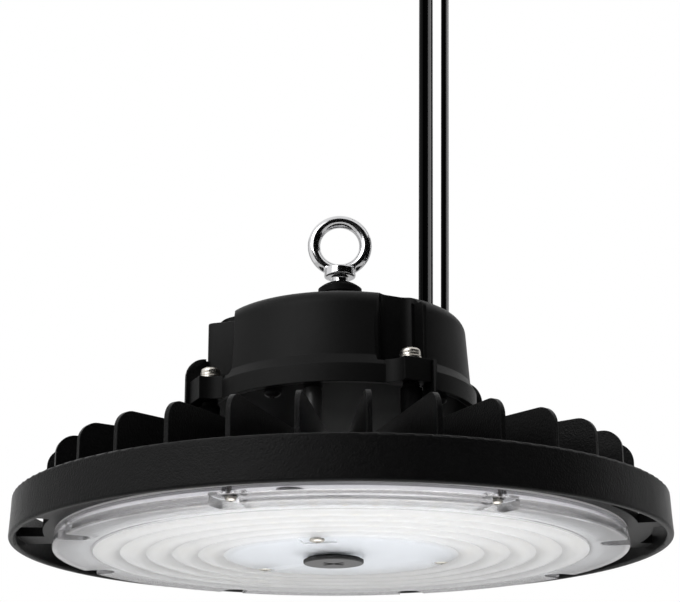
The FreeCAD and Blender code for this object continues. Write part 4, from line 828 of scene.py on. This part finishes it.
def add_floor():
    bpy.ops.mesh.primitive_plane_add(size=6, location=(0, 0, -1.15))
    floor = bpy.context.object
    floor.name = "floor"
    material = new_material("pale floor")
    set_sockets(shader_of(material), Base_Color=(0.8, 0.8, 0.79, 1), Roughness=0.9)
    floor.data.materials.append(material)


def add_card(name, place, aim, width, height, grey):
    """A card round the stage that shows in reflections only."""
    bpy.ops.mesh.primitive_plane_add(size=1, location=place)
    card = bpy.context.object
    card.name = name
    card.scale = (width, height, 1)
    card.rotation_euler = (Vector(aim) - Vector(place)).to_track_quat("Z", "Y").to_euler()
    material = new_material(name + " paper")
    set_sockets(shader_of(material), Base_Color=(grey, grey, grey, 1), Roughness=1.0, Specular_IOR_Level=0.0)
    card.data.materials.append(material)
    card.visible_camera = card.visible_diffuse = card.visible_shadow = card.visible_transmission = False


def add_area(name, place, aim, width, height, power):
    bpy.ops.object.light_add(type="AREA", location=place)
    lamp = bpy.context.object
    lamp.name = name
    lamp.data.shape = "RECTANGLE"
    lamp.data.size = width
    lamp.data.size_y = height
    lamp.data.energy = power
    lamp.rotation_euler = (Vector(aim) - Vector(place)).to_track_quat("-Z", "Y").to_euler()
    return lamp


def link_light(lamp, pieces, state):
    """Let a lamp light only these pieces, or all but these."""
    group = bpy.data.collections.new(lamp.name + " pieces")
    for piece in pieces:
        group.objects.link(piece)
    for linked in group.collection_objects:
        linked.light_linking.link_state = state
    lamp.light_linking.receiver_collection = group


def add_world():
    """Soft white all round: full white where it is seen, mirrored or seen through, and weaker as light."""
    world = bpy.data.worlds.new("studio")
    bpy.context.scene.world = world
    world.use_nodes = True
    tree = world.node_tree
    tree.nodes.clear()
    light = tree.nodes.new("ShaderNodeBackground")
    set_sockets(light, Color=(1, 1, 1, 1), Strength=0.75)
    white = tree.nodes.new("ShaderNodeBackground")
    set_sockets(white, Color=(1, 1, 1, 1), Strength=1.0)
    path = tree.nodes.new("ShaderNodeLightPath")
    seen = math_node(tree, "MAXIMUM", path.outputs["Is Camera Ray"], path.outputs["Is Transmission Ray"])
    seen = math_node(tree, "MAXIMUM", seen, path.outputs["Is Glossy Ray"])
    mix = tree.nodes.new("ShaderNodeMixShader")
    out = tree.nodes.new("ShaderNodeOutputWorld")
    tree.links.new(seen, mix.inputs[0])
    tree.links.new(light.outputs[0], mix.inputs[1])
    tree.links.new(white.outputs[0], mix.inputs[2])
    tree.links.new(mix.outputs[0], out.inputs[0])


def add_camera():
    """Camera in front of the light and below its rim, pitched up at it."""
    distance, drop, pitch, roll = 0.837, 0.142, 17.79, -0.26
    bpy.ops.object.camera_add(location=(0, -distance, -drop + RIM_BASE * MM))
    camera = bpy.context.object
    camera.data.sensor_width = 36
    camera.data.lens = 91.16
    camera.data.clip_start = 0.01
    pitched = Matrix.Rotation(math.radians(90 + pitch), 4, "X")
    rolled = Matrix.Rotation(math.radians(roll), 4, "Z")
    camera.matrix_world = Matrix.Translation(camera.location) @ pitched @ rolled
    bpy.context.scene.camera = camera


def add_stage():
    add_floor()
    cards = (
        # name, place, aim, width, height, grey
        ("front_card", (0, -3.0, 0.9), (0, 0, -0.1), 7.0, 4.4, 0.004),
        ("right_card", (3.2, -0.4, 0.5), (0, 0, 0), 5.0, 3.4, 0.004),
        ("low_back_card", (0, 3.2, -0.75), (0, 0, -0.2), 9.0, 1.1, 0.8),
        ("left_back_card", (-2.8, 2.2, 0.3), (0, 0, 0), 2.4, 3.4, 0.65),
        ("right_back_card", (2.8, 2.4, 0.3), (0, 0, 0), 2.4, 3.4, 0.4),
    )
    for card in cards:
        add_card(*card)
    leads = [bpy.data.objects[name] for name in ("mains_lead", "dimming_lead")]
    strip = add_area("cord strip", (1.15, -0.25, 0.1), (0.05, 0, 0.02), 2.0, 1.6, 170)
    key = add_area("key", (-1.0, -1.3, 0.9), (0, 0, -0.1), 1.2, 1.2, 22)
    link_light(strip, leads, "INCLUDE")
    link_light(key, leads, "EXCLUDE")
    add_area("fill", (1.5, 0.7, 0.3), (0, 0, -0.1), 1.0, 1.0, 1.4)
    add_area("under glow", (0.05, 0.0, -1.1), (0, 0, -0.15), 1.0, 1.0, 6.5)
    under = add_area("under", (0.05, 0.4, -1.05), (0, 0, -0.15), 1.0, 1.0, 4)
    under.visible_glossy = under.visible_transmission = False
    add_world()
    add_camera()
    bpy.context.scene.view_settings.view_transform = "Standard"


bpy.ops.object.select_all(action="DESELECT")
finish_cad_nodes()
add_cords()
add_cover()
add_eye_bolt()
add_housing_blends()
add_stands()
add_lug_screws()
add_cover_screws()
add_led_packages()
add_breather()
add_stage()
